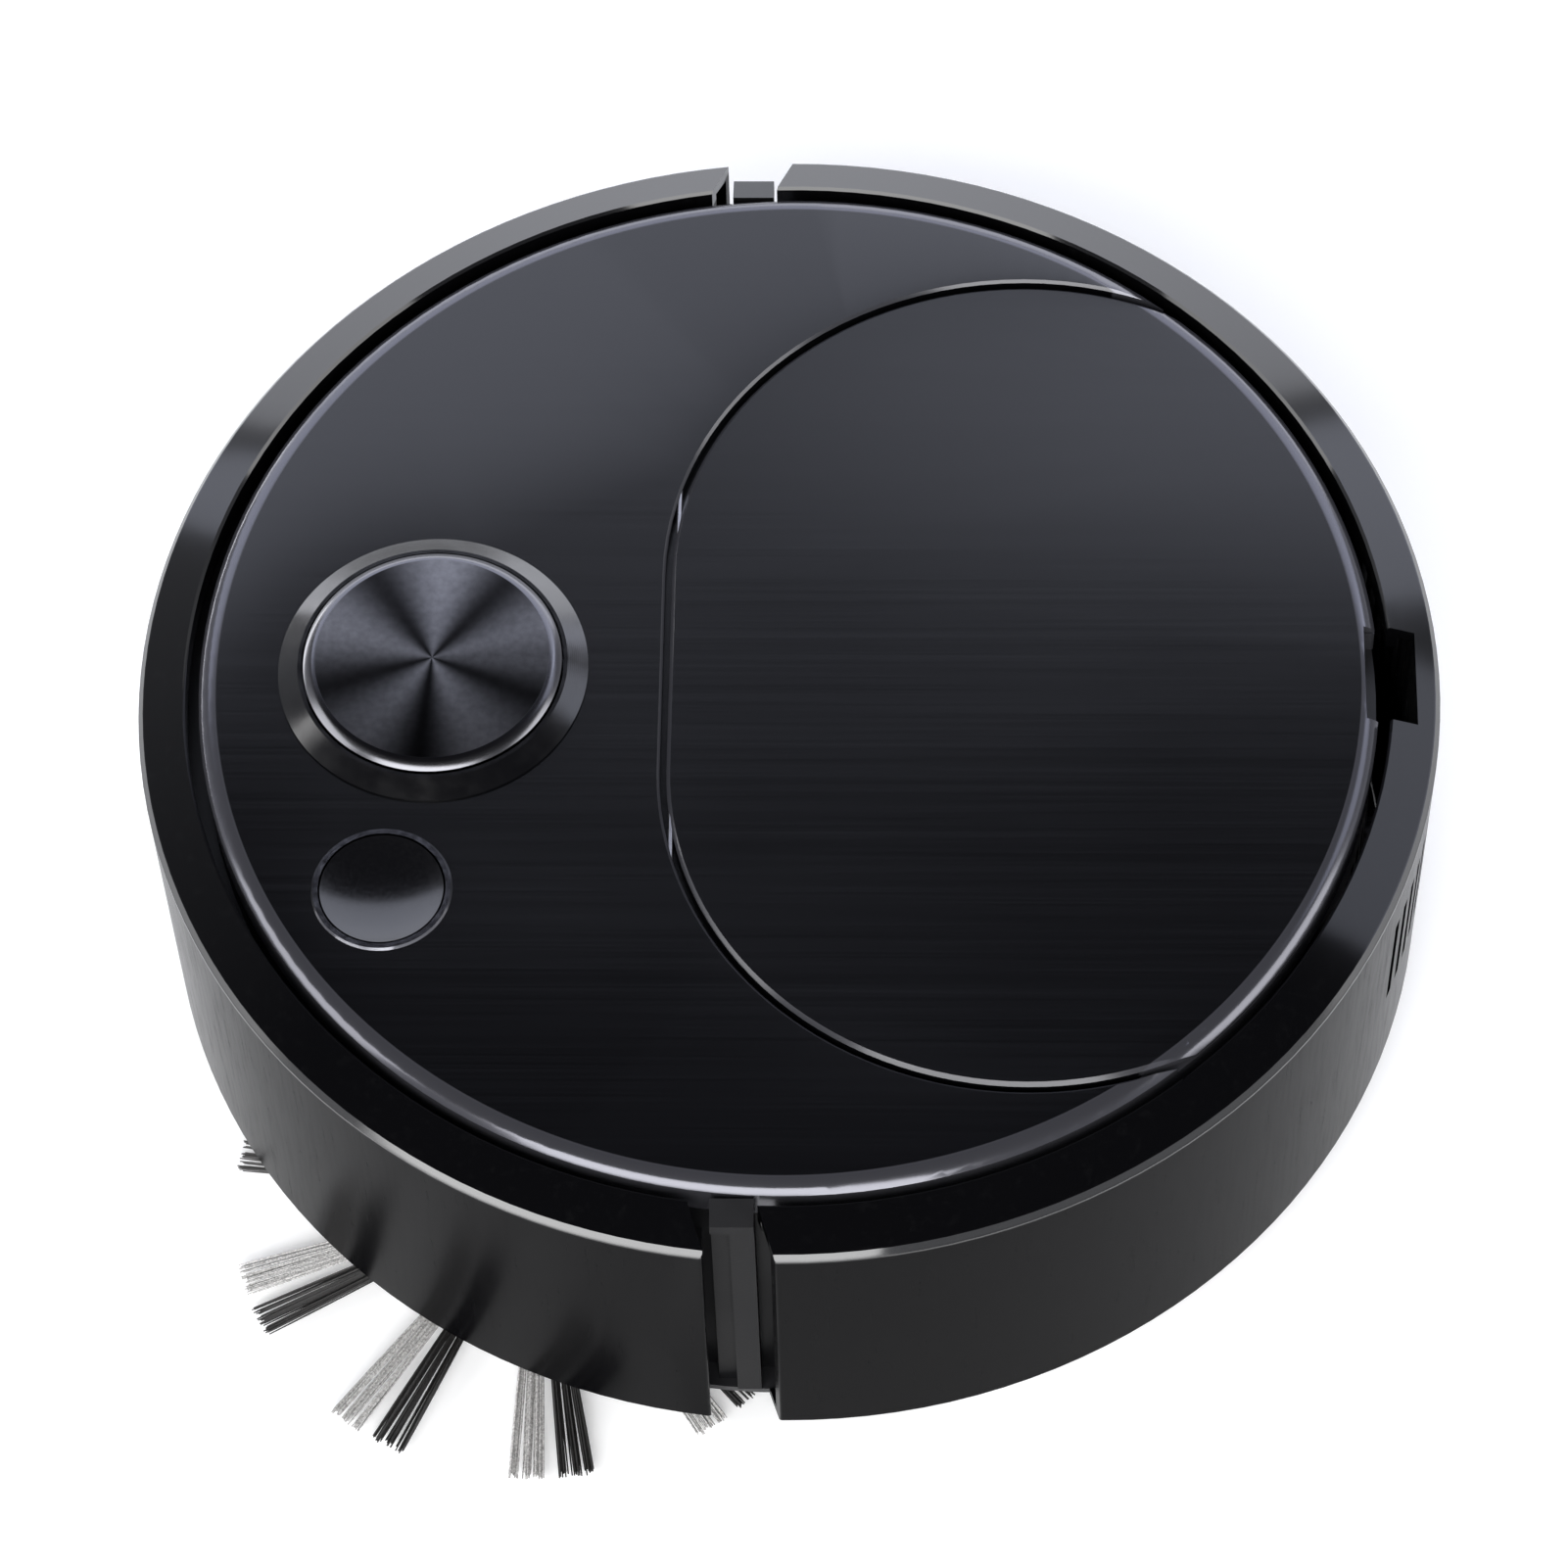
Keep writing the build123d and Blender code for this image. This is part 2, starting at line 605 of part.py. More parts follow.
def make_mode_bezel():
    points = [
        (MODE_R + 0.35, 74.6),
        (MODE_HOLE_R - 0.1, 74.6),
        (MODE_HOLE_R - 0.1, Z_COVER),
        (MODE_RING_R, Z_COVER),
        (MODE_RING_R - 0.3, Z_COVER + 0.5),
        (MODE_R + 0.35, Z_COVER + 0.5),
    ]
    return Pos(X_MODE, Y_MODE, 0) * turned(points)


def make_mode_cap():
    dish_depth = 1.9
    dish_r = (MODE_R**2 + dish_depth**2) / (2 * dish_depth)
    cap = rod(0, 0, 74.0, Z_COVER + 0.4, MODE_R) + rod(0, 0, 72.6, 74.0, 12.0)
    cap = cap - Pos(0, 0, Z_COVER + 0.4 - dish_depth + dish_r) * Sphere(dish_r)
    cap = cap - rod(0, 0, 70, 74.4, 9.5) + rod(0, 0, Z_STEM, 74.6, 2.0)
    return Pos(X_MODE, Y_MODE, 0) * cap


def make_mode_spring():
    z0 = Z_BOARD + BOARD_T + 0.5
    return Pos(X_MODE, Y_MODE, z0) * coil(5.6, 0.35, 73.9 - z0, 5)


# ---- electronics ---------------------------------------------------------------------
def make_control_board():
    plan = Polyline((36, -56), (84, -56), (98, -28), (98, 28), (84, 56), (36, 56), close=True)
    board = extrude(Pos(0, 0, Z_BOARD) * make_face(plan), BOARD_T)
    for x, y in BOARD_POSTS:
        board = board - rod(x, y, 50, 70, 1.2)
    return board


def tact_switch(x, y):
    z0 = Z_BOARD + BOARD_T
    body = block(x - 3, x + 3, y - 3, y + 3, z0, z0 + 3.5)
    return body + rod(x, y, z0 + 3.5, Z_SWITCH, 1.7)


def make_board_parts():
    z0 = Z_BOARD + BOARD_T
    parts = [tact_switch(X_START, 0), tact_switch(X_MODE, Y_MODE)]
    parts.append(block(42, 54, -38, -26, z0, z0 + 1.2))
    parts.append(block(58, 64, -42, -36, z0, z0 + 1.2))
    parts.append(block(39, 47, 20, 38, z0, z0 + 5))
    for y in (-20, -12, 12):
        parts.append(rod(42, y, z0, z0 + 6.5, 3.0))
    for y in (-34, -30, 30, 34):
        parts.append(block(84, 87, y - 1, y + 1, z0, z0 + 0.8))
    return Compound(parts)


def make_charge_jack():
    """Round socket in the rear wall, with its contact pin set back behind the bore's mouth."""
    face = -R_RIM + 0.6
    body = rod_x(0, Z_JACK, face, -104, JACK_R) - rod_x(0, Z_JACK, face - 1, face + PLUG_DEPTH, PLUG_R)
    body = body - rod_x(0, Z_JACK, face + PLUG_DEPTH, face + 2 * PLUG_DEPTH, PLUG_R + 0.35)
    return body + rod_x(0, Z_JACK, face + PLUG_DEPTH + 0.5, face + 2 * PLUG_DEPTH + 0.5, 0.7)


def make_bumper_switches():
    switches = []
    for side in SIDES.values():
        body = block(77, 87, 41.5, 48.5, 33, 41)
        plunger = rod_x(45, 37.5, 87, 87.9, 1.0)
        foot = block(80, 84, 43, 47, Z_FLOOR_IN, 33)
        switches.append(mirrored(body + plunger + foot, side))
    return Compound(switches)


# ---- air path ------------------------------------------------------------------------
def make_dust_bin():
    outer = rounded_box(BIN_BACK, BIN_FRONT, BIN_HALF, Z_BIN, Z_BIN_TOP, 5)
    back = BIN_BACK + BIN_WALL
    front = BIN_FRONT - BIN_WALL
    inner = rounded_box(back, front, BIN_HALF - BIN_WALL, Z_BIN + BIN_WALL, 90, 3.5)
    shell = outer - inner
    shell = shell - block(BIN_FRONT - 4, BIN_FRONT + 1, -20, 20, PORT_Z - 4.8, PORT_Z + 4.8)
    return shell - block(BIN_BACK - 1, BIN_BACK + 4, -24, 24, Z_FAN - 14, Z_FAN + 16)


def make_bin_cover():
    cover = rounded_box(BIN_BACK - 0.4, BIN_FRONT + 0.4, BIN_HALF + 0.4, Z_BIN_TOP, Z_BIN_TOP + 1.6, 5)
    inside = rounded_box(BIN_BACK + 1.9, BIN_FRONT - 1.9, BIN_HALF - 1.9, Z_BIN_TOP - 2.5, Z_BIN_TOP, 3)
    lip = inside - rounded_box(BIN_BACK + 3.4, BIN_FRONT - 3.4, BIN_HALF - 3.4, 60, 90, 2)
    cover = cover + lip
    grip = block(-52, -10, -9, 9, Z_BIN_TOP - 6, 90)
    pan = block(-53.2, -8.8, -10.2, 10.2, Z_BIN_TOP - 7.2, Z_BIN_TOP + 1.6)
    bar = block(-52, -10, -2.2, 2.2, Z_BIN_TOP + 0.2, Z_BIN_TOP + 2.6)
    return cover + pan - grip + bar


def make_filter_frame():
    x0 = BIN_BACK + BIN_WALL + 0.2
    frame = block(x0, x0 + 7, -28, 28, 15, 54) - block(x0 - 1, x0 + 8, -24, 24, 19, 49)
    bars = [block(x0 + 5.8, x0 + 7, y - 0.8, y + 0.8, 19, 49) for y in (-12, 0, 12)]
    return frame + bars


def make_filter_pad():
    """Pleated filter paper, folded back and forth across the frame."""
    x0 = BIN_BACK + BIN_WALL + 0.8
    folds = 16
    width = 47.6
    front = []
    back = []
    for i in range(folds + 1):
        y = -width / 2 + width * i / folds
        x = x0 + (3.6 if i % 2 else 0.2)
        front.append((x + 0.5, y))
        back.append((x - 0.2, y))
    outline = Polyline(*(front + back[::-1]), close=True)
    return extrude(Pos(0, 0, 19.2) * make_face(outline), 29.6)


def make_suction_nozzle():
    def funnel(grow, z0, z1):
        wide = MOUTH_HALF + 1.4 + grow
        slim = 20.5 + grow
        right = [(wide, z0), (wide, z0 + 4), (slim, 24 + grow), (slim, z1)]
        left = [(-y, z) for y, z in reversed(right)]
        return Plane.YZ * make_face(Polyline(*(right + left), close=True))

    x0 = BIN_FRONT + BAY_GAP + BAY_T + 0.2
    x1 = 28.5
    outer = extrude(Pos(x0, 0, 0) * funnel(0, Z_FLOOR_IN, 38.5), x1 - x0)
    inner = extrude(Pos(x0 + 1.5, 0, 0) * funnel(-1.5, Z_FLOOR_IN, 37), x1 - x0 - 3.0)
    port = block(x0 - 1, x0 + 4, -18.5, 18.5, PORT_Z - 4.8, PORT_Z + 4.8)
    return outer - inner - port


def make_squeegee():
    half = SQUEEGEE_HALF
    strip = block(X_SQUEEGEE, X_SQUEEGEE + 1.2, -half, half, 1.6, Z_TRAY)
    flange = block(X_SQUEEGEE - 2, X_SQUEEGEE + 3.2, -half - 2, half + 2, Z_TRAY - 1.2, Z_TRAY)
    return strip + flange


def make_fan_housing():
    x1 = X_FAN - 13.0
    drum = rod_x(0, Z_FAN, X_FAN, x1, FAN_R) - rod_x(0, Z_FAN, X_FAN - 1.2, x1 + 1.2, FAN_R - 1.5)
    drum = drum - rod_x(0, Z_FAN, X_FAN + 1, X_FAN - 4, 11.5) - rod_x(0, Z_FAN, x1 + 4, x1 - 1, 4)
    duct = block(x1 + 1.5, X_FAN - 1.5, FAN_R - 4, FAN_R + 6, Z_FAN - 6, Z_FAN + 6)
    hollow = block(x1 + 3, X_FAN - 3, FAN_R - 8, FAN_R + 7, Z_FAN - 4.5, Z_FAN + 4.5)
    for sign in (1, -1):
        drum = drum + (mirrored(duct, sign) - rod_x(0, Z_FAN, X_FAN, x1, FAN_R - 1))
        drum = drum - mirrored(hollow, sign)
    return drum + block(x1 + 2, X_FAN - 2, -9, 9, Z_FLOOR_IN, Z_FAN - FAN_R + 0.8)


def make_fan_impeller():
    x_back = X_FAN - 10.6
    wheel = rod_x(0, Z_FAN, x_back, x_back + 1.0, 18) + rod_x(0, Z_FAN, x_back, x_back + 7.5, 5)
    blades = []
    for i in range(9):
        blade = Pos(x_back + 4, 10.8, 0) * Box(6, 13, 0.9)
        tilted = Pos(0, 0, 2.2) * blade
        blades.append(Pos(0, 0, Z_FAN) * Rot(360 / 9 * i, 0, 0) * tilted)
    wheel = wheel + blades
    return wheel + rod_x(0, Z_FAN, x_back - 10, x_back, 1.2)


def make_fan_motor():
    x0 = X_FAN - 13.2
    x1 = -103.5
    can = rod_x(0, Z_FAN, x0, x1, 12) + rod_x(0, Z_FAN, x1, x1 - 1.5, 3)
    return can - rod_x(0, Z_FAN, x0 + 1, x0 - 9, 1.2 + RUN)


# ---- drive wheels --------------------------------------------------------------------
def make_drive_arm(side):
    z = WHEEL_R
    circles = [(X_PIVOT, z, 4.5), (X_WHEEL, z, 7.0), (X_MOTOR, Z_MOTOR, 10.5)]
    plan = make_hull([e for x, h, r in circles for e in (Pos(x, h) * Circle(r)).edges()])
    body = Pos(0, ARM_Y1, 0) * extrude(Plane.XZ * plan, ARM_Y1 - ARM_Y0)
    seat = block(X_WHEEL - 16, X_WHEEL - 6, ARM_Y0 + 1, ARM_Y1 - 1, WHEEL_R + 2, Z_SPRING)
    body = body + seat + rod_y(X_PIVOT, z, ARM_Y0 - 3.1, ARM_Y1 + 3.1, SHAFT_R)
    body = body - rod_y(X_WHEEL, z, ARM_Y0 + 2, ARM_Y1 + 1, AXLE_R + RUN)
    return mirrored(body, side)


def make_drive_motor(side):
    can = rod_y(X_MOTOR, Z_MOTOR, 43.5, ARM_Y0, 9.5) + rod_y(X_MOTOR, Z_MOTOR, 42.4, 43.5, 3)
    return mirrored(can, side)


def make_wheel_axle(side):
    return mirrored(rod_y(X_WHEEL, WHEEL_R, ARM_Y0 + 3, Y_WHEEL + 5, AXLE_R), side)


def make_wheel_hub(side):
    r_hub = WHEEL_R - 5
    y0 = Y_WHEEL - 6
    y1 = Y_WHEEL + 6
    hub = rod_y(X_WHEEL, WHEEL_R, y0, y1, r_hub)
    hub = hub - rod_y(X_WHEEL, WHEEL_R, Y_WHEEL + 1, y1 + 1, r_hub - 2)
    hub = hub + rod_y(X_WHEEL, WHEEL_R, Y_WHEEL, y1 - 1, 5)
    for i in range(5):
        spoke = Pos((r_hub - 2) / 2, 0, 0) * Box(r_hub - 1.5, 4.5, 3.0)
        hub = hub + Pos(X_WHEEL, Y_WHEEL + 3, WHEEL_R) * Rot(0, 72 * i, 0) * spoke
    return mirrored(hub - rod_y(X_WHEEL, WHEEL_R, y0 - 1, Y_WHEEL + 5, AXLE_R), side)


def make_tyre(side):
    y0 = Y_WHEEL - WHEEL_W / 2
    y1 = Y_WHEEL + WHEEL_W / 2
    tyre = rod_y(X_WHEEL, WHEEL_R, y0, y1, WHEEL_R) - rod_y(X_WHEEL, WHEEL_R, y0 - 1, y1 + 1, WHEEL_R - 5)
    grooves = []
    for i in range(24):
        for half in (-1, 1):
            cut = Pos(0, half * WHEEL_W / 4, WHEEL_R) * Rot(0, 0, half * 28) * Box(1.6, WHEEL_W, 2.6)
            keep = block(-8, 8, min(0, half * 8), max(0, half * 8), 20, 30)
            turn = 15 * i + 7.5 * (half > 0)
            grooves.append(Pos(X_WHEEL, Y_WHEEL, WHEEL_R) * Rot(0, turn, 0) * (cut & keep))
    return mirrored(tyre - grooves, side)


def make_wheel_spring(side):
    y = (ARM_Y0 + ARM_Y1) / 2
    height = Z_DECK - Z_SPRING - 1.0
    return Pos(X_WHEEL - 11, side * y, Z_SPRING + 0.5) * coil(3.6, 0.45, height, 6)


# ---- caster --------------------------------------------------------------------------
def make_caster_fork():
    fork = rod(X_CASTER, 0, 17.2, 21.4, 8.5)
    for sign in (1, -1):
        cheek = block(X_CASTER - CASTER_TRAIL - 3.4, X_CASTER + 4, 4.1, 5.9, CASTER_R, 18)
        cheek = cheek + rod_y(X_CASTER - CASTER_TRAIL, CASTER_R, 4.1, 5.9, 3.4)
        fork = fork + mirrored(cheek, sign)
    fork = fork + rod(X_CASTER, 0, 21.4, 35.5, SHAFT_R)
    fork = fork - rod_y(X_CASTER - CASTER_TRAIL, CASTER_R, -7, 7, 1.0)
    return fork - rod_y(X_CASTER - CASTER_TRAIL, CASTER_R, -4.1, 4.1, CASTER_R + 0.8)


def make_caster_wheel():
    x = X_CASTER - CASTER_TRAIL
    half = CASTER_W / 2
    wheel = rod_y(x, CASTER_R, -half, half, CASTER_R)
    dish = rod_y(x, CASTER_R, half - 0.8, half + 1, CASTER_R - 2) - rod_y(x, CASTER_R, 0, half, 2.6)
    wheel = wheel - both_sides(dish)
    return wheel - rod_y(x, CASTER_R, -9, 9, 1.0 + RUN)


def make_caster_axle():
    return rod_y(X_CASTER - CASTER_TRAIL, CASTER_R, -5.9, 5.9, 1.0)


# ---- side brushes --------------------------------------------------------------------
def gear_face(teeth, turn):
    """Involute spur gear outline; turn is the angle of the first tooth's middle, in degrees."""
    r_pitch = MODULE * teeth / 2
    r_base = r_pitch * math.cos(PRESSURE)
    r_tip = r_pitch + 0.8 * MODULE
    r_root = r_pitch - 1.1 * MODULE
    half = (math.pi * MODULE / 2 - MESH_BACKLASH / 2) / (2 * r_pitch)
    swell = math.tan(PRESSURE) - PRESSURE

    def half_angle(r):
        if r <= r_base:
            return half + swell
        phi = math.acos(r_base / r)
        return half + swell - (math.tan(phi) - phi)

    radii = [r_root, max(r_base, r_root + 0.1), (r_pitch + r_base) / 2, r_pitch, (r_pitch + r_tip) / 2, r_tip]
    points = []
    for i in range(teeth):
        middle = math.radians(turn) + 2 * math.pi * i / teeth
        flank = [(r, -half_angle(r)) for r in radii] + [(r, half_angle(r)) for r in reversed(radii)]
        points += [(r * math.cos(middle + a), r * math.sin(middle + a)) for r, a in flank]
    return make_face(Polyline(*points, close=True))


GEAR_SPACING = MODULE * (GEAR_TEETH + PINION_TEETH) / 2
PINION_BEARING = 228.0  # direction from the left brush's axis to its pinion
X_PINION = X_BRUSH + GEAR_SPACING * math.cos(math.radians(PINION_BEARING))
Y_PINION = Y_BRUSH + GEAR_SPACING * math.sin(math.radians(PINION_BEARING))


def make_brush_gear(side):
    """Driven gear with its shaft, which comes down through the base to the brush hub."""
    teeth = extrude(Pos(0, 0, GEAR_Z0) * gear_face(GEAR_TEETH, PINION_BEARING), GEAR_T)
    gear = teeth + rod(0, 0, GEAR_Z0, 20, 4.5) + rod(0, 0, 5.4, GEAR_Z0, SHAFT_R)
    gear = gear - rod(0, 0, 0, 12, 0.9)
    return mirrored(Pos(X_BRUSH, Y_BRUSH, 0) * gear, side)


def make_brush_pinion(side):
    opposite = PINION_BEARING + 180 + 180 / PINION_TEETH
    teeth = extrude(Pos(0, 0, GEAR_Z0) * gear_face(PINION_TEETH, opposite), GEAR_T)
    return mirrored(Pos(X_PINION, Y_PINION, 0) * (teeth + rod(0, 0, GEAR_Z0, 27, 1.0)), side)


def make_brush_motor(side):
    motor = rod(X_PINION, Y_PINION, 19.0, 40, 9.5) + rod(X_PINION, Y_PINION, 40, 41.5, 3)
    motor = motor - rod(X_PINION, Y_PINION, 10, 28, 1.0 + RUN)
    bracket = block(X_PINION - 14, X_PINION - 7, Y_PINION - 4, Y_PINION + 4, Z_FLOOR_IN, 30)
    motor = motor + (bracket - rod(X_PINION, Y_PINION, 0, 60, 9.0))
    return mirrored(motor, side)


def make_brush_hub(side):
    hub = rod(0, 0, 3.8, 8.0, 9.0) + rod(0, 0, 8.0, 10.0, 6.0)
    hub = hub - rod(0, 0, 0, 5.4, 2.9) - rod(0, 0, 5.4, 12, SHAFT_R)
    return Pos(X_BRUSH, side * Y_BRUSH, 0) * hub


def make_brush_screw(side):
    screw = rod(0, 0, 4.0, 5.4, 2.7) + rod(0, 0, 5.4, 11, 0.9)
    screw = screw - block(-1.7, 1.7, -0.3, 0.3, 3, 4.6) - block(-0.3, 0.3, -1.7, 1.7, 3, 4.6)
    return Pos(X_BRUSH, side * Y_BRUSH, 0) * screw


BUNDLE_ROOT_R = 8.0
BUNDLE_SPREAD = 4.7  # degrees from the tuft's middle to each bundle's middle
BUNDLE_DROOP = 3.3  # degrees the bristles lean down
TUFT_PHASE = {"left": 22.0, "right": -22.0}  # direction of one tuft on each brush


def bundle(direction):
    """One bundle of bristles: a flat tapered blade leaning down to the floor."""
    length = BRUSH_REACH - BUNDLE_ROOT_R
    half = [(0, 0.6), (0.36 * length, 2.0), (length, 3.4)]
    corners = half + [(length + 0.6, 0)] + [(x, -y) for x, y in reversed(half)]
    blade = extrude(Pos(0, 0, -0.7) * make_face(Polyline(*corners, close=True)), 1.4)
    leaning = Pos(BUNDLE_ROOT_R, 0, 5.0) * Rot(0, BUNDLE_DROOP, 0) * blade
    return Rot(0, 0, direction) * leaning


def make_bristles(side_name, offset):
    side = SIDES[side_name]
    blades = []
    for i in range(TUFTS):
        direction = TUFT_PHASE[side_name] + 360 / TUFTS * i + offset
        blades.append(Pos(X_BRUSH, side * Y_BRUSH, 0) * bundle(direction))
    hub_zone = rod(X_BRUSH, side * Y_BRUSH, 0, 20, 9.0)
    return Compound([(blade - hub_zone).solid() for blade in blades])


# ---- everything, by name -------------------------------------------------------------
def all_parts():
    parts = {
        "base_tray": make_base_tray(),
        "mid_housing": make_mid_housing(),
        "rear_shell": make_rear_shell(),
        "bumper_shell": make_bumper(),
        "bumper_springs": make_bumper_springs(),
        "bumper_switches": make_bumper_switches(),
        "top_cover": make_top_cover(),
        "dust_lid": make_dust_lid(),
        "lid_hinge_pins": make_lid_pins(),
        "start_bezel": make_start_bezel(),
        "start_cap": make_start_cap(),
        "start_spring": make_start_spring(),
        "mode_bezel": make_mode_bezel(),
        "mode_cap": make_mode_cap(),
        "mode_spring": make_mode_spring(),
        "control_board": make_control_board(),
        "board_components": make_board_parts(),
        "charge_jack": make_charge_jack(),
        "battery_cells": make_battery_cells(),
        "battery_door": make_battery_door(),
        "base_screws": make_base_screws(),
        "cliff_windows": make_cliff_windows(),
        "dust_bin": make_dust_bin(),
        "bin_cover": make_bin_cover(),
        "filter_frame": make_filter_frame(),
        "filter_pad": make_filter_pad(),
        "suction_nozzle": make_suction_nozzle(),
        "squeegee": make_squeegee(),
        "fan_housing": make_fan_housing(),
        "fan_motor": make_fan_motor(),
        "fan_impeller": make_fan_impeller(),
        "caster_fork": make_caster_fork(),
        "caster_wheel": make_caster_wheel(),
        "caster_axle": make_caster_axle(),
    }
    for name, side in SIDES.items():
        parts["drive_arm_" + name] = make_drive_arm(side)
        parts["drive_motor_" + name] = make_drive_motor(side)
        parts["wheel_axle_" + name] = make_wheel_axle(side)
        parts["wheel_hub_" + name] = make_wheel_hub(side)
        parts["wheel_tyre_" + name] = make_tyre(side)
        parts["wheel_spring_" + name] = make_wheel_spring(side)
        parts["brush_motor_" + name] = make_brush_motor(side)
        parts["brush_pinion_" + name] = make_brush_pinion(side)
        parts["brush_gear_" + name] = make_brush_gear(side)
        parts["brush_hub_" + name] = make_brush_hub(side)
        parts["brush_screw_" + name] = make_brush_screw(side)
        parts["bristles_grey_" + name] = make_bristles(name, -BUNDLE_SPREAD)
        parts["bristles_black_" + name] = make_bristles(name, BUNDLE_SPREAD)
    return parts


def main():
    os.makedirs("parts", exist_ok=True)
    for name, shape in all_parts().items():
        export_step(shape, "parts/" + name + ".step")


main()
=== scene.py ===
import json
import math
import random

import bpy
from mathutils import Matrix, Vector


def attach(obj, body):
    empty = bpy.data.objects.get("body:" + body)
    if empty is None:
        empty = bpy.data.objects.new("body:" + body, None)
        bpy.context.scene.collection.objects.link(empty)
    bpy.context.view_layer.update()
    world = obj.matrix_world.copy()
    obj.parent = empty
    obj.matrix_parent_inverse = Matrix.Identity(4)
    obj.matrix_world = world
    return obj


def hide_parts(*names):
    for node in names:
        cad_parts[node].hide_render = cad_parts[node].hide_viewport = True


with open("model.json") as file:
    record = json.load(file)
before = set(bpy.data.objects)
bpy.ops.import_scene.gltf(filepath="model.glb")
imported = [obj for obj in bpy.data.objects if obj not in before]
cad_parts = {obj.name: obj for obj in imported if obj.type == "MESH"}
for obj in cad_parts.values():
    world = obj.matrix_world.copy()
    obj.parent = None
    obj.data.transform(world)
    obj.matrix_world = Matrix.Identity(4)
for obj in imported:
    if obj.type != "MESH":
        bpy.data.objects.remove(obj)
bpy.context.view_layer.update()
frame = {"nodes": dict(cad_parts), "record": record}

MM = 0.001
NODES = frame["nodes"]
SCENE = bpy.context.scene

# ---- dimensions shared with the CAD, in metres ------------------------------------------
R_FACE = 0.1054  # flat face of cover and lid ends here, the rounded rim begins
X_START, Y_START = 0.0653, 0.0
START_FACE_R = 0.0216  # spun face of the start cap, inside its bevel
Z_CROWN = 0.073  # just under the chamfer on the shells' outer top edge
R_EDGE = 0.11895  # just inside that chamfer
BLUR = 0.0001  # half width of the change from one finish to the next
BRUSH_X, BRUSH_Y = 0.047, 0.070
BRUSH_REACH = 0.058
SIDES = {"left": 1, "right": -1}


# ---- node helpers -------------------------------------------------------------------------
class Mat:
    """A procedural material and short calls to build its node tree."""

    def __init__(self, name):
        self.mat = bpy.data.materials.new(name)
        self.mat.use_nodes = True
        self.tree = self.mat.node_tree
        self.bsdf = next(n for n in self.tree.nodes if n.type == "BSDF_PRINCIPLED")
        self.coords = self.tree.nodes.new("ShaderNodeTexCoord").outputs["Object"]

    def node(self, kind, **props):
        n = self.tree.nodes.new(kind)
        for key, value in props.items():
            setattr(n, key, value)
        return n

    def put(self, socket, value):
        """Links a node output, or sets a plain value, on an input socket."""
        if isinstance(value, bpy.types.NodeSocket):
            self.tree.links.new(value, socket)
        else:
            socket.default_value = value

    def scaled(self, scale):
        n = self.node("ShaderNodeMapping")
        self.put(n.inputs["Vector"], self.coords)
        n.inputs["Scale"].default_value = scale
        return n.outputs["Vector"]

    def noise(self, scale, detail=3.0, rough=0.5):
        """Noise over object space, scale given per axis in 1/m."""
        n = self.node("ShaderNodeTexNoise")
        self.put(n.inputs["Vector"], self.scaled(scale))
        n.inputs["Scale"].default_value = 1.0
        n.inputs["Detail"].default_value = detail
        n.inputs["Roughness"].default_value = rough
        return n.outputs["Fac"]

    def span(self, value, low, high, out_low, out_high):
        n = self.node("ShaderNodeMapRange")
        names = ("Value", "From Min", "From Max", "To Min", "To Max")
        for name, v in zip(names, (value, low, high, out_low, out_high)):
            self.put(n.inputs[name], v)
        return n.outputs["Result"]

    def math(self, op, a, b=0.0):
        n = self.node("ShaderNodeMath", operation=op)
        self.put(n.inputs[0], a)
        self.put(n.inputs[1], b)
        return n.outputs[0]

    def mix(self, factor, a, b):
        n = self.node("ShaderNodeMix", data_type="RGBA")
        self.put(n.inputs["Factor"], factor)
        for i, v in ((6, a), (7, b)):
            self.put(n.inputs[i], tuple(v) + (1.0,) if isinstance(v, (tuple, list)) else v)
        return n.outputs[2]

    def mixf(self, factor, a, b):
        n = self.node("ShaderNodeMix", data_type="FLOAT")
        self.put(n.inputs["Factor"], factor)
        self.put(n.inputs[2], a)
        self.put(n.inputs[3], b)
        return n.outputs[0]

    def bump(self, height, strength, distance):
        n = self.node("ShaderNodeBump")
        n.inputs["Strength"].default_value = strength
        n.inputs["Distance"].default_value = distance
        self.put(n.inputs["Height"], height)
        self.put(self.bsdf.inputs["Normal"], n.outputs["Normal"])

    def radius(self, x=0.0, y=0.0):
        """Distance from an upright axis, in metres, and the position relative to it."""
        shift = self.node("ShaderNodeVectorMath", operation="SUBTRACT")
        self.put(shift.inputs[0], self.coords)
        shift.inputs[1].default_value = (x, y, 0.0)
        flat = self.node("ShaderNodeVectorMath", operation="MULTIPLY")
        self.put(flat.inputs[0], shift.outputs[0])
        flat.inputs[1].default_value = (1.0, 1.0, 0.0)
        length = self.node("ShaderNodeVectorMath", operation="LENGTH")
        self.put(length.inputs[0], flat.outputs[0])
        return length.outputs["Value"], shift.outputs[0]

    def tilt(self):
        """Height of the surface normal in the object's own space: 1 looks up, 0 is a wall."""
        return self.axes(self.node("ShaderNodeTexCoord").outputs["Normal"])[2]

    def axes(self, vector=None):
        n = self.node("ShaderNodeSeparateXYZ")
        self.put(n.inputs[0], vector or self.coords)
        return n.outputs

    def set(self, **values):
        names = {"color": "Base Color", "rough": "Roughness", "metal": "Metallic", "ior": "IOR",
                 "spec": "Specular IOR Level", "coat": "Coat Weight", "aniso": "Anisotropic",
                 "trans": "Transmission Weight"}
        for key, value in values.items():
            if key == "color" and isinstance(value, (tuple, list)):
                value = tuple(value) + (1.0,)
            self.put(self.bsdf.inputs[names[key]], value)
        return self


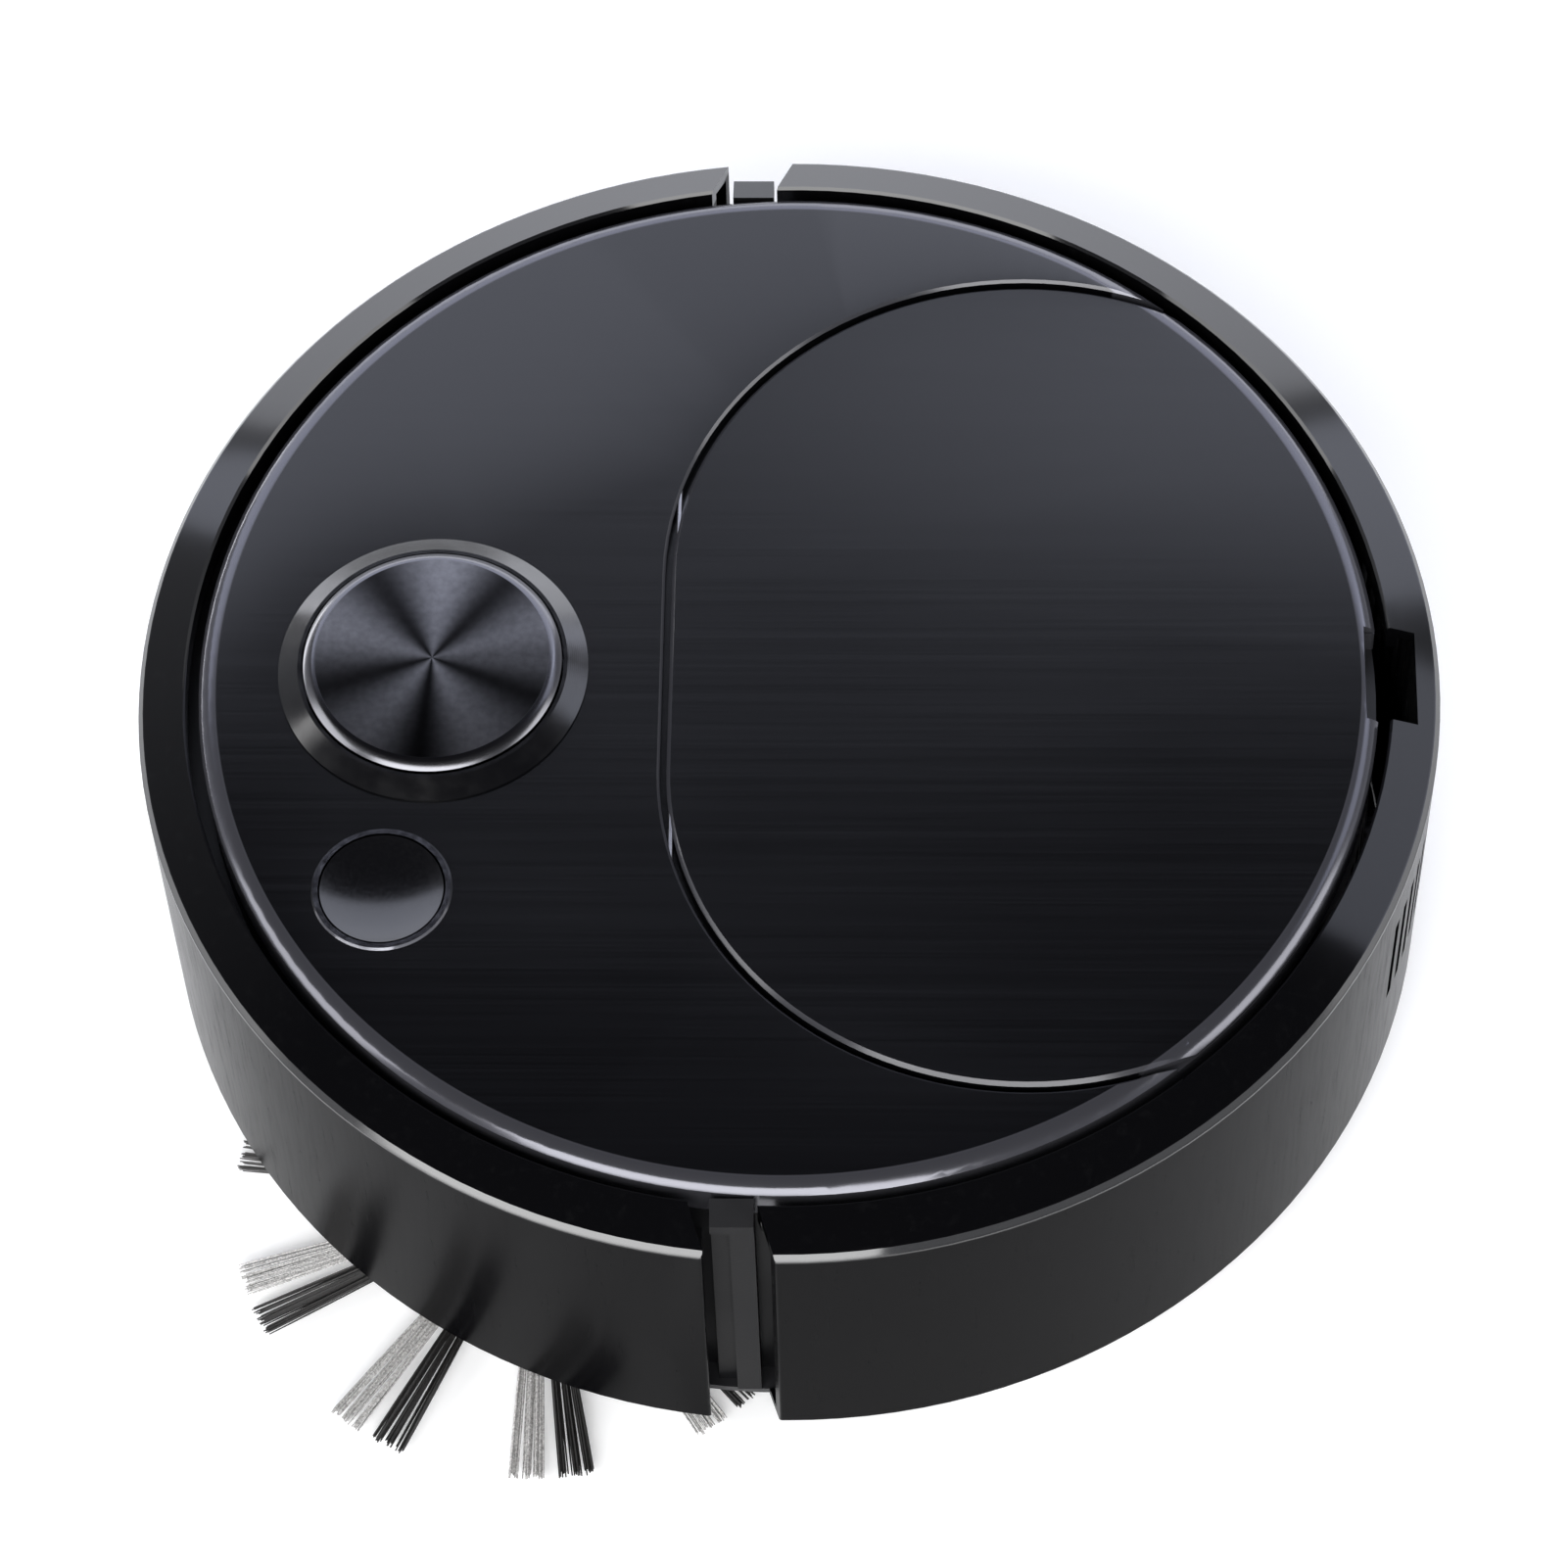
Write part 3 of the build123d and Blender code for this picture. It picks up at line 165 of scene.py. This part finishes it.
def moulded(name, color, rough=0.5, grain=2500.0, strength=0.12, spec=0.5, wear=0.15):
    """Moulded plastic: fine grain, uneven gloss and faint colour drift."""
    m = Mat(name)
    drift = m.noise((35.0, 35.0, 35.0), 4.0)
    light = tuple(min(1.0, c * (1 + wear) + 0.004) for c in color)
    m.set(color=m.mix(drift, color, light), spec=spec)
    m.set(rough=m.span(drift, 0.3, 0.7, rough - 0.07, rough + 0.07))
    m.bump(m.noise((grain,) * 3, 2.0), strength, 0.00008)
    return m.mat


def metal(name, color, rough, stretch, strength=0.08, spots=0.06):
    """Drawn or turned metal: streaks along one axis and light staining."""
    m = Mat(name)
    streaks = m.noise(stretch, 3.0)
    stain = m.noise((60.0, 60.0, 60.0), 4.0)
    dark = tuple(c * (1 - spots * 3) for c in color)
    m.set(color=m.mix(stain, color, dark), metal=1.0)
    m.set(rough=m.span(streaks, 0.3, 0.7, rough - 0.06, rough + 0.1))
    m.bump(streaks, strength, 0.00006)
    return m.mat


# ---- materials ----------------------------------------------------------------------------
def cover_material():
    """Black cover with fine hairline brushing along X, a polished rounded rim and bevelled seam edges."""
    m = Mat("cover_gloss")
    hair = m.noise((14.0, 3200.0, 3200.0), 3.0, 0.6)
    broad = m.noise((5.0, 620.0, 620.0), 3.0, 0.6)
    cloud = m.noise((9.0, 9.0, 9.0), 3.0)
    rim = m.span(m.radius()[0], R_FACE - 2 * BLUR, R_FACE + 2 * BLUR, 0.0, 1.0)
    tilt = m.tilt()
    sloped = m.math("MULTIPLY", m.span(tilt, 0.90, 0.97, 1.0, 0.0), m.span(tilt, 0.2, 0.5, 0.0, 1.0))
    rim = m.math("MAXIMUM", rim, m.math("MULTIPLY", sloped, 0.35))
    streak = m.math("ADD", m.math("MULTIPLY", hair, 0.6), m.math("MULTIPLY", broad, 0.4))
    black, brushed = (0.0015, 0.0015, 0.0019), (0.0026, 0.0027, 0.0034)
    face = m.mix(m.span(streak, 0.35, 0.68, 0.0, 1.0), black, brushed)
    m.set(color=m.mix(rim, face, (0.095, 0.095, 0.108)), metal=m.math("MULTIPLY", rim, 0.7))
    face_rough = m.span(streak, 0.35, 0.68, 0.17, 0.21)
    face_rough = m.math("ADD", face_rough, m.span(cloud, 0.3, 0.7, -0.015, 0.02))
    m.set(rough=m.mixf(rim, face_rough, 0.17), spec=0.52)
    m.bump(m.math("MULTIPLY", hair, m.math("SUBTRACT", 1.0, rim)), 0.05, 0.00004)
    return m.mat


def shell_material():
    """Black shell: soft low gloss on the wall, polished sloped top, brightest on the outer edge."""
    m = Mat("shell_gloss")
    wave = m.noise((28.0, 28.0, 14.0), 2.0)
    scuff = m.noise((900.0, 900.0, 60.0), 4.0, 0.7)
    dust = m.noise((420.0, 420.0, 420.0), 5.0, 0.65)
    black, dusty = (0.0015, 0.0015, 0.0018), (0.0035, 0.0035, 0.0038)
    m.set(color=m.mix(m.span(dust, 0.55, 0.8, 0.0, 1.0), black, dusty))
    crown = m.span(m.axes()[2], Z_CROWN - 5 * BLUR, Z_CROWN + 5 * BLUR, 0.0, 1.0)
    outside = m.span(m.radius()[0], R_EDGE - 1.5 * BLUR, R_EDGE + 1.5 * BLUR, 0.0, 1.0)
    edge = m.math("MULTIPLY", crown, outside)
    m.set(spec=m.mixf(edge, m.mixf(crown, 0.02, 0.5), 1.0))
    m.set(rough=m.mixf(crown, m.span(scuff, 0.45, 0.75, 0.22, 0.3), 0.08))
    m.bump(wave, 0.25, 0.0002)
    return m.mat


def bezel_material():
    """Glossy cone round the start cap, with faint turning rings."""
    m = Mat("bezel_gloss")
    rings = m.node("ShaderNodeTexWave", wave_type="RINGS", rings_direction="Z")
    m.put(rings.inputs["Vector"], m.radius(X_START, Y_START)[1])
    rings.inputs["Scale"].default_value = 900.0
    m.set(color=(0.002, 0.002, 0.0025), spec=0.9)
    m.set(rough=m.span(m.noise((300.0,) * 3), 0.3, 0.7, 0.12, 0.18))
    m.bump(rings.outputs["Fac"], 0.05, 0.00003)
    return m.mat


# painted highlight sectors of the spun cap, reflections of the lamps painted into its colour: clock
# direction seen with -Y up and +X to the left, and brightness
PAINTED_HIGHLIGHT_SECTORS = [(0.17, 0.25), (2.4, 0.24), (5.17, 0.36), (7.1, 0.32), (9.67, 0.26)]
# brightness of the painted shade between the painted highlight sectors
PAINTED_SHADE_GAP = 0.02  # brightness between them
GROOVES = 26000.0  # turned grooves of the spun cap, in radians per metre of radius


def painted_sector_marks():
    """Colour ramp marks round the full turn, from 0 to 1: painted highlight sectors with a band of
    painted shade between each two.
    """
    stops = []
    for hour, level in PAINTED_HIGHLIGHT_SECTORS:
        up = math.radians(30.0 * hour)
        place = (math.atan2(-math.cos(up), -math.sin(up)) + math.pi) / (2 * math.pi)
        stops.append((place, level))
    stops.sort()
    marks = []
    for (place, level), (after, _) in zip(stops, stops[1:] + [(stops[0][0] + 1.0, 0.0)]):
        marks.append((place % 1.0, level))
        marks.append((((place + after) / 2) % 1.0, PAINTED_SHADE_GAP))
    marks.sort()
    first, last = marks[0], marks[-1]
    share = (1.0 - last[0]) / (1.0 - last[0] + first[0])
    seam = last[1] + (first[1] - last[1]) * share
    return [(0.0, seam)] + marks + [(1.0, seam)]


def spun_material():
    """Spun dark aluminium: fine concentric grooves and radial anisotropic gloss, with light and dark
    sectors painted into its colour as painted reflections of the lamps.
    """
    m = Mat("spun_metal")
    radius, local = m.radius(X_START, Y_START)
    grooves = m.math("SINE", m.math("MULTIPLY", radius, GROOVES))
    sep = m.axes(local)
    angle = m.math("ARCTAN2", sep[1], sep[0])
    # painted reflection: this colour ramp paints light and dark sectors into the cap's colour by angle
    # round its axis
    painted_fan = m.node("ShaderNodeValToRGB")
    m.put(painted_fan.inputs["Fac"], m.span(angle, -math.pi, math.pi, 0.0, 1.0))
    painted_fan.color_ramp.interpolation = "EASE"
    marks = painted_sector_marks()
    ramp = painted_fan.color_ramp.elements
    ramp.remove(ramp[1])
    ramp[0].position, ramp[0].color = marks[0][0], (marks[0][1],) * 3 + (1.0,)
    for place, level in marks[1:]:
        ramp.new(place).color = (level, level, level, 1.0)
    flat = m.span(radius, START_FACE_R - BLUR, START_FACE_R + BLUR, 1.0, 0.0)
    fine = m.noise((700.0, 700.0, 10.0), 2.0)
    level = m.math("MULTIPLY", painted_fan.outputs["Color"], m.span(fine, 0.3, 0.7, 0.85, 1.1))
    shade = m.node("ShaderNodeCombineColor")
    for socket, share in zip(shade.inputs, (0.50, 0.50, 0.53)):
        m.put(socket, m.math("MULTIPLY", level, share))
    # the painted sectors colour the spun face; the bevel outside START_FACE_R keeps a plain grey
    m.set(color=m.mix(flat, (0.12, 0.12, 0.13), shade.outputs[0]), metal=1.0)
    m.set(rough=m.mixf(flat, 0.2, 0.33), aniso=0.6)
    tangent = m.node("ShaderNodeTangent", direction_type="RADIAL", axis="Z")
    m.put(m.bsdf.inputs["Tangent"], tangent.outputs[0])
    m.bump(m.math("MULTIPLY", grooves, flat), 0.12, 0.00002)
    return m.mat


def mode_material():
    """Gloss black dished button."""
    m = Mat("button_gloss")
    fine = m.noise((1500.0,) * 3, 2.0)
    m.set(color=(0.002, 0.002, 0.0025), rough=m.span(fine, 0.3, 0.7, 0.16, 0.22), spec=0.8)
    m.bump(fine, 0.02, 0.00003)
    return m.mat


def inner_material():
    """Inner housing: matt on its walls, glossier on the faces that look up."""
    m = Mat("inner_plastic")
    drift = m.noise((35.0, 35.0, 35.0), 4.0)
    m.set(color=m.mix(drift, (0.004, 0.004, 0.0045), (0.009, 0.009, 0.010)))
    m.set(rough=m.span(drift, 0.3, 0.7, 0.30, 0.42), spec=m.span(m.tilt(), 0.5, 0.9, 0.06, 0.6))
    m.bump(m.noise((1800.0,) * 3, 2.0), 0.12, 0.00008)
    return m.mat


def tread_material(name):
    """Rubber with dust rubbed into it."""
    m = Mat(name)
    dust = m.noise((260.0,) * 3, 5.0, 0.7)
    m.set(color=m.mix(m.span(dust, 0.5, 0.75, 0.0, 1.0), (0.012, 0.012, 0.012), (0.05, 0.047, 0.043)))
    m.set(rough=m.span(dust, 0.3, 0.7, 0.68, 0.85), spec=0.3)
    m.bump(m.noise((3200.0,) * 3, 3.0), 0.3, 0.0001)
    return m.mat


def board_material():
    """Solder mask with copper tracks just under it and tinned spots."""
    m = Mat("board_green")
    cells = m.node("ShaderNodeTexVoronoi", feature="DISTANCE_TO_EDGE")
    m.put(cells.inputs["Vector"], m.scaled((260.0, 260.0, 1.0)))
    cells.inputs["Scale"].default_value = 1.0
    track = m.span(cells.outputs["Distance"], 0.03, 0.07, 1.0, 0.0)
    dots = m.node("ShaderNodeTexVoronoi")
    m.put(dots.inputs["Vector"], m.scaled((420.0, 420.0, 1.0)))
    dots.inputs["Scale"].default_value = 1.0
    pads = m.span(dots.outputs["Distance"], 0.14, 0.18, 1.0, 0.0)
    mask = m.mix(track, (0.008, 0.075, 0.030), (0.018, 0.14, 0.055))
    m.set(color=m.mix(pads, mask, (0.5, 0.5, 0.48)), metal=m.math("MULTIPLY", pads, 0.9))
    m.set(rough=m.mixf(pads, 0.28, 0.36))
    m.bump(m.math("ADD", track, pads), 0.3, 0.00004)
    return m.mat


def parts_material():
    """Chips, switches and capacitors: dark epoxy, cloudy in tone."""
    m = Mat("electronics")
    cell = m.noise((150.0, 150.0, 150.0), 3.0)
    m.set(color=m.mix(cell, (0.012, 0.012, 0.013), (0.035, 0.034, 0.032)))
    m.set(rough=m.span(cell, 0.3, 0.7, 0.42, 0.6))
    m.bump(m.noise((3500.0,) * 3, 2.0), 0.2, 0.00005)
    return m.mat


def smoke_material():
    """Smoky clear plastic of the dust bin."""
    m = Mat("bin_smoke")
    haze = m.noise((45.0,) * 3, 4.0)
    m.set(color=m.mix(haze, (0.03, 0.03, 0.034), (0.065, 0.063, 0.062)))
    m.set(rough=m.span(haze, 0.3, 0.7, 0.12, 0.28))
    m.set(trans=0.35, ior=1.49)
    m.bump(m.noise((600.0,) * 3, 3.0), 0.05, 0.0001)
    return m.mat


def wrap_material():
    """Shrink wrap round a cell: taut film with faint wrinkles."""
    m = Mat("cell_wrap")
    fold = m.noise((40.0, 300.0, 300.0), 4.0)
    m.set(color=m.mix(fold, (0.012, 0.09, 0.28), (0.025, 0.14, 0.38)))
    m.set(rough=m.span(fold, 0.3, 0.7, 0.18, 0.32), coat=0.4)
    m.bump(fold, 0.25, 0.0002)
    return m.mat


def paper_material():
    """Pleated filter paper with visible fibre."""
    m = Mat("filter_paper")
    fibre = m.noise((1400.0, 1400.0, 500.0), 5.0, 0.7)
    m.set(color=m.mix(fibre, (0.62, 0.61, 0.57), (0.84, 0.83, 0.79)))
    m.set(rough=m.span(fibre, 0.3, 0.7, 0.85, 0.98), spec=0.2)
    m.bump(fibre, 0.5, 0.0002)
    return m.mat


def lens_material():
    """Dark red window over a floor sensor."""
    m = Mat("dark_lens")
    fine = m.noise((500.0,) * 3, 3.0)
    m.set(color=m.mix(fine, (0.012, 0.002, 0.004), (0.022, 0.004, 0.007)))
    m.set(rough=m.span(fine, 0.3, 0.7, 0.06, 0.14), coat=0.5)
    m.bump(fine, 0.03, 0.00005)
    return m.mat


def bristle_material(name, dark, light):
    """Nylon filament: tone changes from strand to strand, with a soft sheen."""
    m = Mat(name)
    tone = m.noise((2600.0, 2600.0, 600.0), 3.0, 0.7)
    along = m.noise((240.0, 240.0, 240.0), 2.0)
    m.set(color=m.mix(m.span(tone, 0.35, 0.65, 0.0, 1.0), dark, light))
    m.set(rough=m.span(along, 0.3, 0.7, 0.38, 0.52), spec=0.45)
    m.bump(along, 0.1, 0.0001)
    return m.mat


def ring_material():
    """Bright metal ring round the small button."""
    m = Mat("bright_ring")
    fine = m.noise((900.0,) * 3, 3.0)
    m.set(color=m.mix(fine, (0.20, 0.20, 0.22), (0.27, 0.27, 0.29)), metal=1.0)
    m.set(rough=m.span(fine, 0.3, 0.7, 0.14, 0.22))
    m.bump(fine, 0.02, 0.00004)
    return m.mat


SLOTS = {
    "base_plastic": lambda: moulded("base_plastic", (0.011, 0.011, 0.0125), 0.50, 2200.0, 0.30),
    "inner_plastic": inner_material,
    "shell_gloss": shell_material,
    "cover_gloss": cover_material,
    "bezel_gloss": bezel_material,
    "spun_metal": spun_material,
    "bright_ring": ring_material,
    "button_gloss": mode_material,
    "spring_steel": lambda: metal("spring_steel", (0.46, 0.46, 0.47), 0.28, (900.0, 900.0, 900.0)),
    "steel": lambda: metal("steel", (0.40, 0.40, 0.42), 0.30, (1400.0, 200.0, 1400.0)),
    "electronics": parts_material,
    "board_green": board_material,
    "jack_metal": lambda: metal("jack_metal", (0.33, 0.33, 0.35), 0.26, (300.0, 1500.0, 1500.0)),
    "cell_wrap": wrap_material,
    "dark_lens": lens_material,
    "bin_smoke": smoke_material,
    "bin_plastic": lambda: moulded("bin_plastic", (0.035, 0.036, 0.040), 0.42, 1500.0, 0.12),
    "filter_paper": paper_material,
    "rubber": lambda: tread_material("rubber"),
    "motor_can": lambda: metal("motor_can", (0.45, 0.45, 0.47), 0.30, (120.0, 120.0, 1600.0), 0.12),
    "caster_plastic": lambda: moulded("caster_plastic", (0.55, 0.55, 0.53), 0.42, 1200.0, 0.15, wear=0.1),
    "hub_plastic": lambda: moulded("hub_plastic", (0.024, 0.024, 0.027), 0.42, 1800.0, 0.18),
    "gear_plastic": lambda: moulded("gear_plastic", (0.68, 0.65, 0.55), 0.38, 1300.0, 0.10, wear=0.08),
    "tyre": lambda: tread_material("tyre"),
    "bristle_grey": lambda: bristle_material("bristle_grey", (0.20, 0.195, 0.19), (0.62, 0.61, 0.60)),
    "bristle_black": lambda: bristle_material(
        "bristle_black", (0.004, 0.004, 0.004), (0.022, 0.020, 0.019)),
}
MATERIALS = {slot: make() for slot, make in SLOTS.items()}
NODE_SLOT = {part["node"]: part["material_slot"] for part in frame["record"]["subparts"]}


# ---- smooth shading of the CAD meshes -----------------------------------------------------
def smooth_group(degrees):
    """Geometry nodes that join split corners, then shade smooth except over sharp edges."""
    group = bpy.data.node_groups.new("smooth_by_angle", "GeometryNodeTree")
    group.interface.new_socket("Geometry", in_out="INPUT", socket_type="NodeSocketGeometry")
    group.interface.new_socket("Geometry", in_out="OUTPUT", socket_type="NodeSocketGeometry")
    new = group.nodes.new
    link = group.links.new
    start, end = new("NodeGroupInput"), new("NodeGroupOutput")
    merge = new("GeometryNodeMergeByDistance")
    merge.inputs["Distance"].default_value = 2e-6
    faces = new("GeometryNodeSetShadeSmooth")
    faces.domain = "FACE"
    edges = new("GeometryNodeSetShadeSmooth")
    edges.domain = "EDGE"
    edges.inputs["Shade Smooth"].default_value = False
    angle = new("GeometryNodeInputMeshEdgeAngle")
    over = new("FunctionNodeCompare")
    over.data_type = "FLOAT"
    over.operation = "GREATER_THAN"
    over.inputs[1].default_value = math.radians(degrees)
    link(angle.outputs[0], over.inputs[0])
    link(start.outputs[0], merge.inputs["Geometry"])
    link(merge.outputs[0], faces.inputs["Geometry"])
    link(faces.outputs[0], edges.inputs["Geometry"])
    link(over.outputs[0], edges.inputs["Selection"])
    link(edges.outputs[0], end.inputs[0])
    return group


SMOOTH = smooth_group(28.0)


def dress_nodes():
    """Each CAD node gets the material of its slot and the smooth shading."""
    for name, obj in NODES.items():
        obj.data.materials.clear()
        obj.data.materials.append(MATERIALS[NODE_SLOT[name]])
        modifier = obj.modifiers.new("smooth", "NODES")
        modifier.node_group = SMOOTH


# ---- bristles --------------------------------------------------------------------------------
TUFTS = 10
SPREAD = math.radians(4.7)  # from a tuft's middle to its grey or black bundle
DROOP = math.radians(3.3)
PHASE = {"left": math.radians(22.0), "right": math.radians(-22.0)}  # heading of the first tuft
ROOT_R = 0.0080
ROOT_Z = 0.0050
STRAND_FILAMENTS = 15
FILAMENT_WIDTH = 0.36 * MM
FILAMENT_STEPS = 6  # straight lengths in each filament
TIP_HALF = 0.36  # half of a filament's width at its tip, as a share of FILAMENT_WIDTH
STRAND_LANE = 0.62  # middle of the outer strands, as a share of the bundle's half width
BUNDLE_ROOT = 0.45 * MM  # half width of a bundle at the hub
BUNDLE_FLARE = 3.35 * MM  # what it gains by the tips


def filament(verts, faces, path):
    """One filament: a four-sided tube along a path, narrower at the tip."""
    base = len(verts)
    for k, (point, across) in enumerate(path):
        half = FILAMENT_WIDTH * (0.5 if k < len(path) - 1 else TIP_HALF)
        up = Vector((0.0, 0.0, half))
        for corner in (across * half, up, -across * half, -up):
            verts.append(point + corner)
    for k in range(len(path) - 1):
        for i in range(4):
            a = base + 4 * k + i
            b = base + 4 * k + (i + 1) % 4
            faces.append((a, b, b + 4, a + 4))
    faces.append(tuple(base + 3 - i for i in range(4)))
    tip = base + 4 * (len(path) - 1)
    faces.append(tuple(tip + i for i in range(4)))


def bristle_piece(side, tone, offset, seed):
    """All bundles of one tone on one brush, as separate filaments gathered in three strands."""
    rng = random.Random(seed)
    centre = Vector((BRUSH_X, SIDES[side] * BRUSH_Y, ROOT_Z))
    length = BRUSH_REACH - ROOT_R
    verts, faces = [], []
    for tuft in range(TUFTS):
        heading = PHASE[side] + 2 * math.pi * tuft / TUFTS + offset
        out = Vector((math.cos(heading), math.sin(heading), 0.0))
        across = Vector((-out.y, out.x, 0.0))
        for group in (-1, 0, 1):
            for _ in range(STRAND_FILAMENTS):
                lane = group * STRAND_LANE + rng.uniform(-0.25, 0.25)
                level = rng.uniform(-0.42, 0.42) * MM
                reach = length * rng.uniform(0.975, 1.0)
                bow = rng.uniform(-0.15, 0.15) * MM
                path = []
                for k in range(FILAMENT_STEPS + 1):
                    t = k / FILAMENT_STEPS
                    half_width = BUNDLE_ROOT + BUNDLE_FLARE * t**0.8
                    side_step = lane * half_width + bow * math.sin(math.pi * t)
                    drop = math.tan(DROOP) * reach * t
                    at = centre + out * (ROOT_R + MM + (reach - MM) * t) + across * side_step
                    path.append((at + Vector((0.0, 0.0, level - drop)), across))
                filament(verts, faces, path)
    name = "strands_" + tone + "_" + side
    mesh = bpy.data.meshes.new(name)
    mesh.from_pydata(verts, [], faces)
    mesh.update()
    piece = bpy.data.objects.new(name, mesh)
    SCENE.collection.objects.link(piece)
    mesh.materials.append(MATERIALS["bristle_" + tone])
    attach(piece, "side_brush_" + side)
    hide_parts("bristles_" + tone + "_" + side)
    return piece


def add_bristles():
    """Filaments in place of the CAD bundles, grey to one side of each tuft and black to the other."""
    for i, side in enumerate(SIDES):
        bristle_piece(side, "grey", -SPREAD, 11 + i)
        bristle_piece(side, "black", SPREAD, 31 + i)


# ---- stage, lights and camera ------------------------------------------------------------------
FLOOR_HALF = 6.0
FLOOR_TILES = 12
FLOOR_GLOW = 0.18  # keeps the pale floor white where the body shades it


def add_floor():
    """Matt white floor, a square of equal tiles."""
    row = FLOOR_TILES + 1
    marks = [FLOOR_HALF * (i / FLOOR_TILES - 0.5) * 2 for i in range(row)]
    verts = [(x, y, 0.0) for x in marks for y in marks]
    quads = [(i * row + j, (i + 1) * row + j, (i + 1) * row + j + 1, i * row + j + 1)
             for i in range(FLOOR_TILES) for j in range(FLOOR_TILES)]
    mesh = bpy.data.meshes.new("floor")
    mesh.from_pydata(verts, [], quads)
    floor = bpy.data.objects.new("floor", mesh)
    SCENE.collection.objects.link(floor)
    m = Mat("floor_paint")
    fine = m.noise((300.0, 300.0, 1.0), 3.0)
    m.set(color=m.mix(fine, (0.90, 0.90, 0.90), (0.93, 0.93, 0.93)))
    m.set(rough=m.span(fine, 0.3, 0.7, 0.75, 0.85), spec=0.1)
    m.bump(fine, 0.02, 0.0001)
    m.bsdf.inputs["Emission Color"].default_value = (1.0, 1.0, 1.0, 1.0)
    m.bsdf.inputs["Emission Strength"].default_value = FLOOR_GLOW
    mesh.materials.append(m.mat)


def softbox(name, azimuth, elevation, distance, width, height, radiance, color=(1.0, 1.0, 1.0)):
    """Area light aimed at the origin; azimuth is its side, in degrees from +X towards +Y."""
    light = bpy.data.lights.new(name, "AREA")
    light.shape = "RECTANGLE"
    light.size = width
    light.size_y = height
    light.energy = radiance * math.pi * width * height
    light.color = color
    obj = bpy.data.objects.new(name, light)
    a, e = math.radians(azimuth), math.radians(elevation)
    place = Vector((math.cos(a) * math.cos(e), math.sin(a) * math.cos(e), math.sin(e))) * distance
    obj.location = place
    obj.rotation_euler = (-place).to_track_quat("-Z", "Y").to_euler()
    obj.visible_camera = False
    SCENE.collection.objects.link(obj)


def add_lights():
    # name, azimuth, elevation, distance, width, height, radiance and, where it isn't white, colour
    softbox("far_high", -90.0, 40.5, 2.2, 3.4, 1.15, 2.0, (0.80, 0.84, 1.0))
    softbox("far_low", -90.0, 15.0, 2.2, 3.4, 0.7, 2.4, (0.90, 0.92, 1.0))
    softbox("front_key", 80.0, 40.0, 4.0, 4.2, 2.0, 7.2)
    softbox("front_low", 66.0, 10.0, 2.4, 3.4, 0.40, 5.5)
    softbox("far_corner", -148.0, 43.0, 2.2, 0.9, 0.7, 1.5, (0.80, 0.84, 1.0))
    softbox("low_strip", -34.0, 5.0, 2.2, 1.6, 0.30, 7.0)
    softbox("side_plus_x", 8.0, 28.0, 2.2, 1.2, 1.0, 4.0)
    softbox("side_minus_x", 172.0, 28.0, 2.2, 1.2, 1.0, 4.0)


def add_world():
    """Sky that is pale at the horizon and near black overhead, so gloss tops mirror little."""
    world = bpy.data.worlds.new("studio")
    world.use_nodes = True
    tree = world.node_tree
    background = next(n for n in tree.nodes if n.type == "BACKGROUND")
    coords = tree.nodes.new("ShaderNodeTexCoord")
    split = tree.nodes.new("ShaderNodeSeparateXYZ")
    ramp = tree.nodes.new("ShaderNodeValToRGB")
    tree.links.new(coords.outputs["Generated"], split.inputs[0])
    tree.links.new(split.outputs[2], ramp.inputs["Fac"])
    tree.links.new(ramp.outputs["Color"], background.inputs["Color"])
    marks = ramp.color_ramp.elements
    marks[0].position, marks[0].color = 0.0, (0.85, 0.86, 0.9, 1.0)
    marks[1].position, marks[1].color = 0.80, (0.03, 0.03, 0.035, 1.0)
    middle = marks.new(0.35)
    middle.color = (0.45, 0.46, 0.5, 1.0)
    background.inputs["Strength"].default_value = 1.0
    SCENE.world = world


# fitted to the body's circles in the photo
CAMERA_AT = Vector((-0.0283, 0.6473, 1.0859))
ELEVATION = math.radians(58.27)
SIDE_TURN = math.radians(2.5)
ROLL = math.radians(1.97)
LENS = 149.55
SHIFT = (-0.0051, 0.0002)


def add_camera():
    """The photo's view: from the +Y side, looking down, with a slight roll."""
    right = Vector((-math.cos(SIDE_TURN), -math.sin(SIDE_TURN), 0.0))
    forward = Vector((math.sin(SIDE_TURN) * math.cos(ELEVATION),
                      -math.cos(SIDE_TURN) * math.cos(ELEVATION), -math.sin(ELEVATION)))
    up = right.cross(forward)
    rolled_right = right * math.cos(ROLL) - up * math.sin(ROLL)
    rolled_up = up * math.cos(ROLL) + right * math.sin(ROLL)
    data = bpy.data.cameras.new("camera")
    data.lens = LENS
    data.sensor_width = 36.0
    data.shift_x, data.shift_y = SHIFT
    data.clip_start = 0.01
    data.clip_end = 50.0
    camera = bpy.data.objects.new("camera", data)
    turn = Matrix((rolled_right, rolled_up, -forward)).transposed()
    camera.matrix_world = Matrix.Translation(CAMERA_AT) @ turn.to_4x4()
    SCENE.collection.objects.link(camera)
    SCENE.camera = camera


dress_nodes()
add_bristles()
add_floor()
add_lights()
add_world()
add_camera()
SCENE.view_settings.view_transform = "Standard"
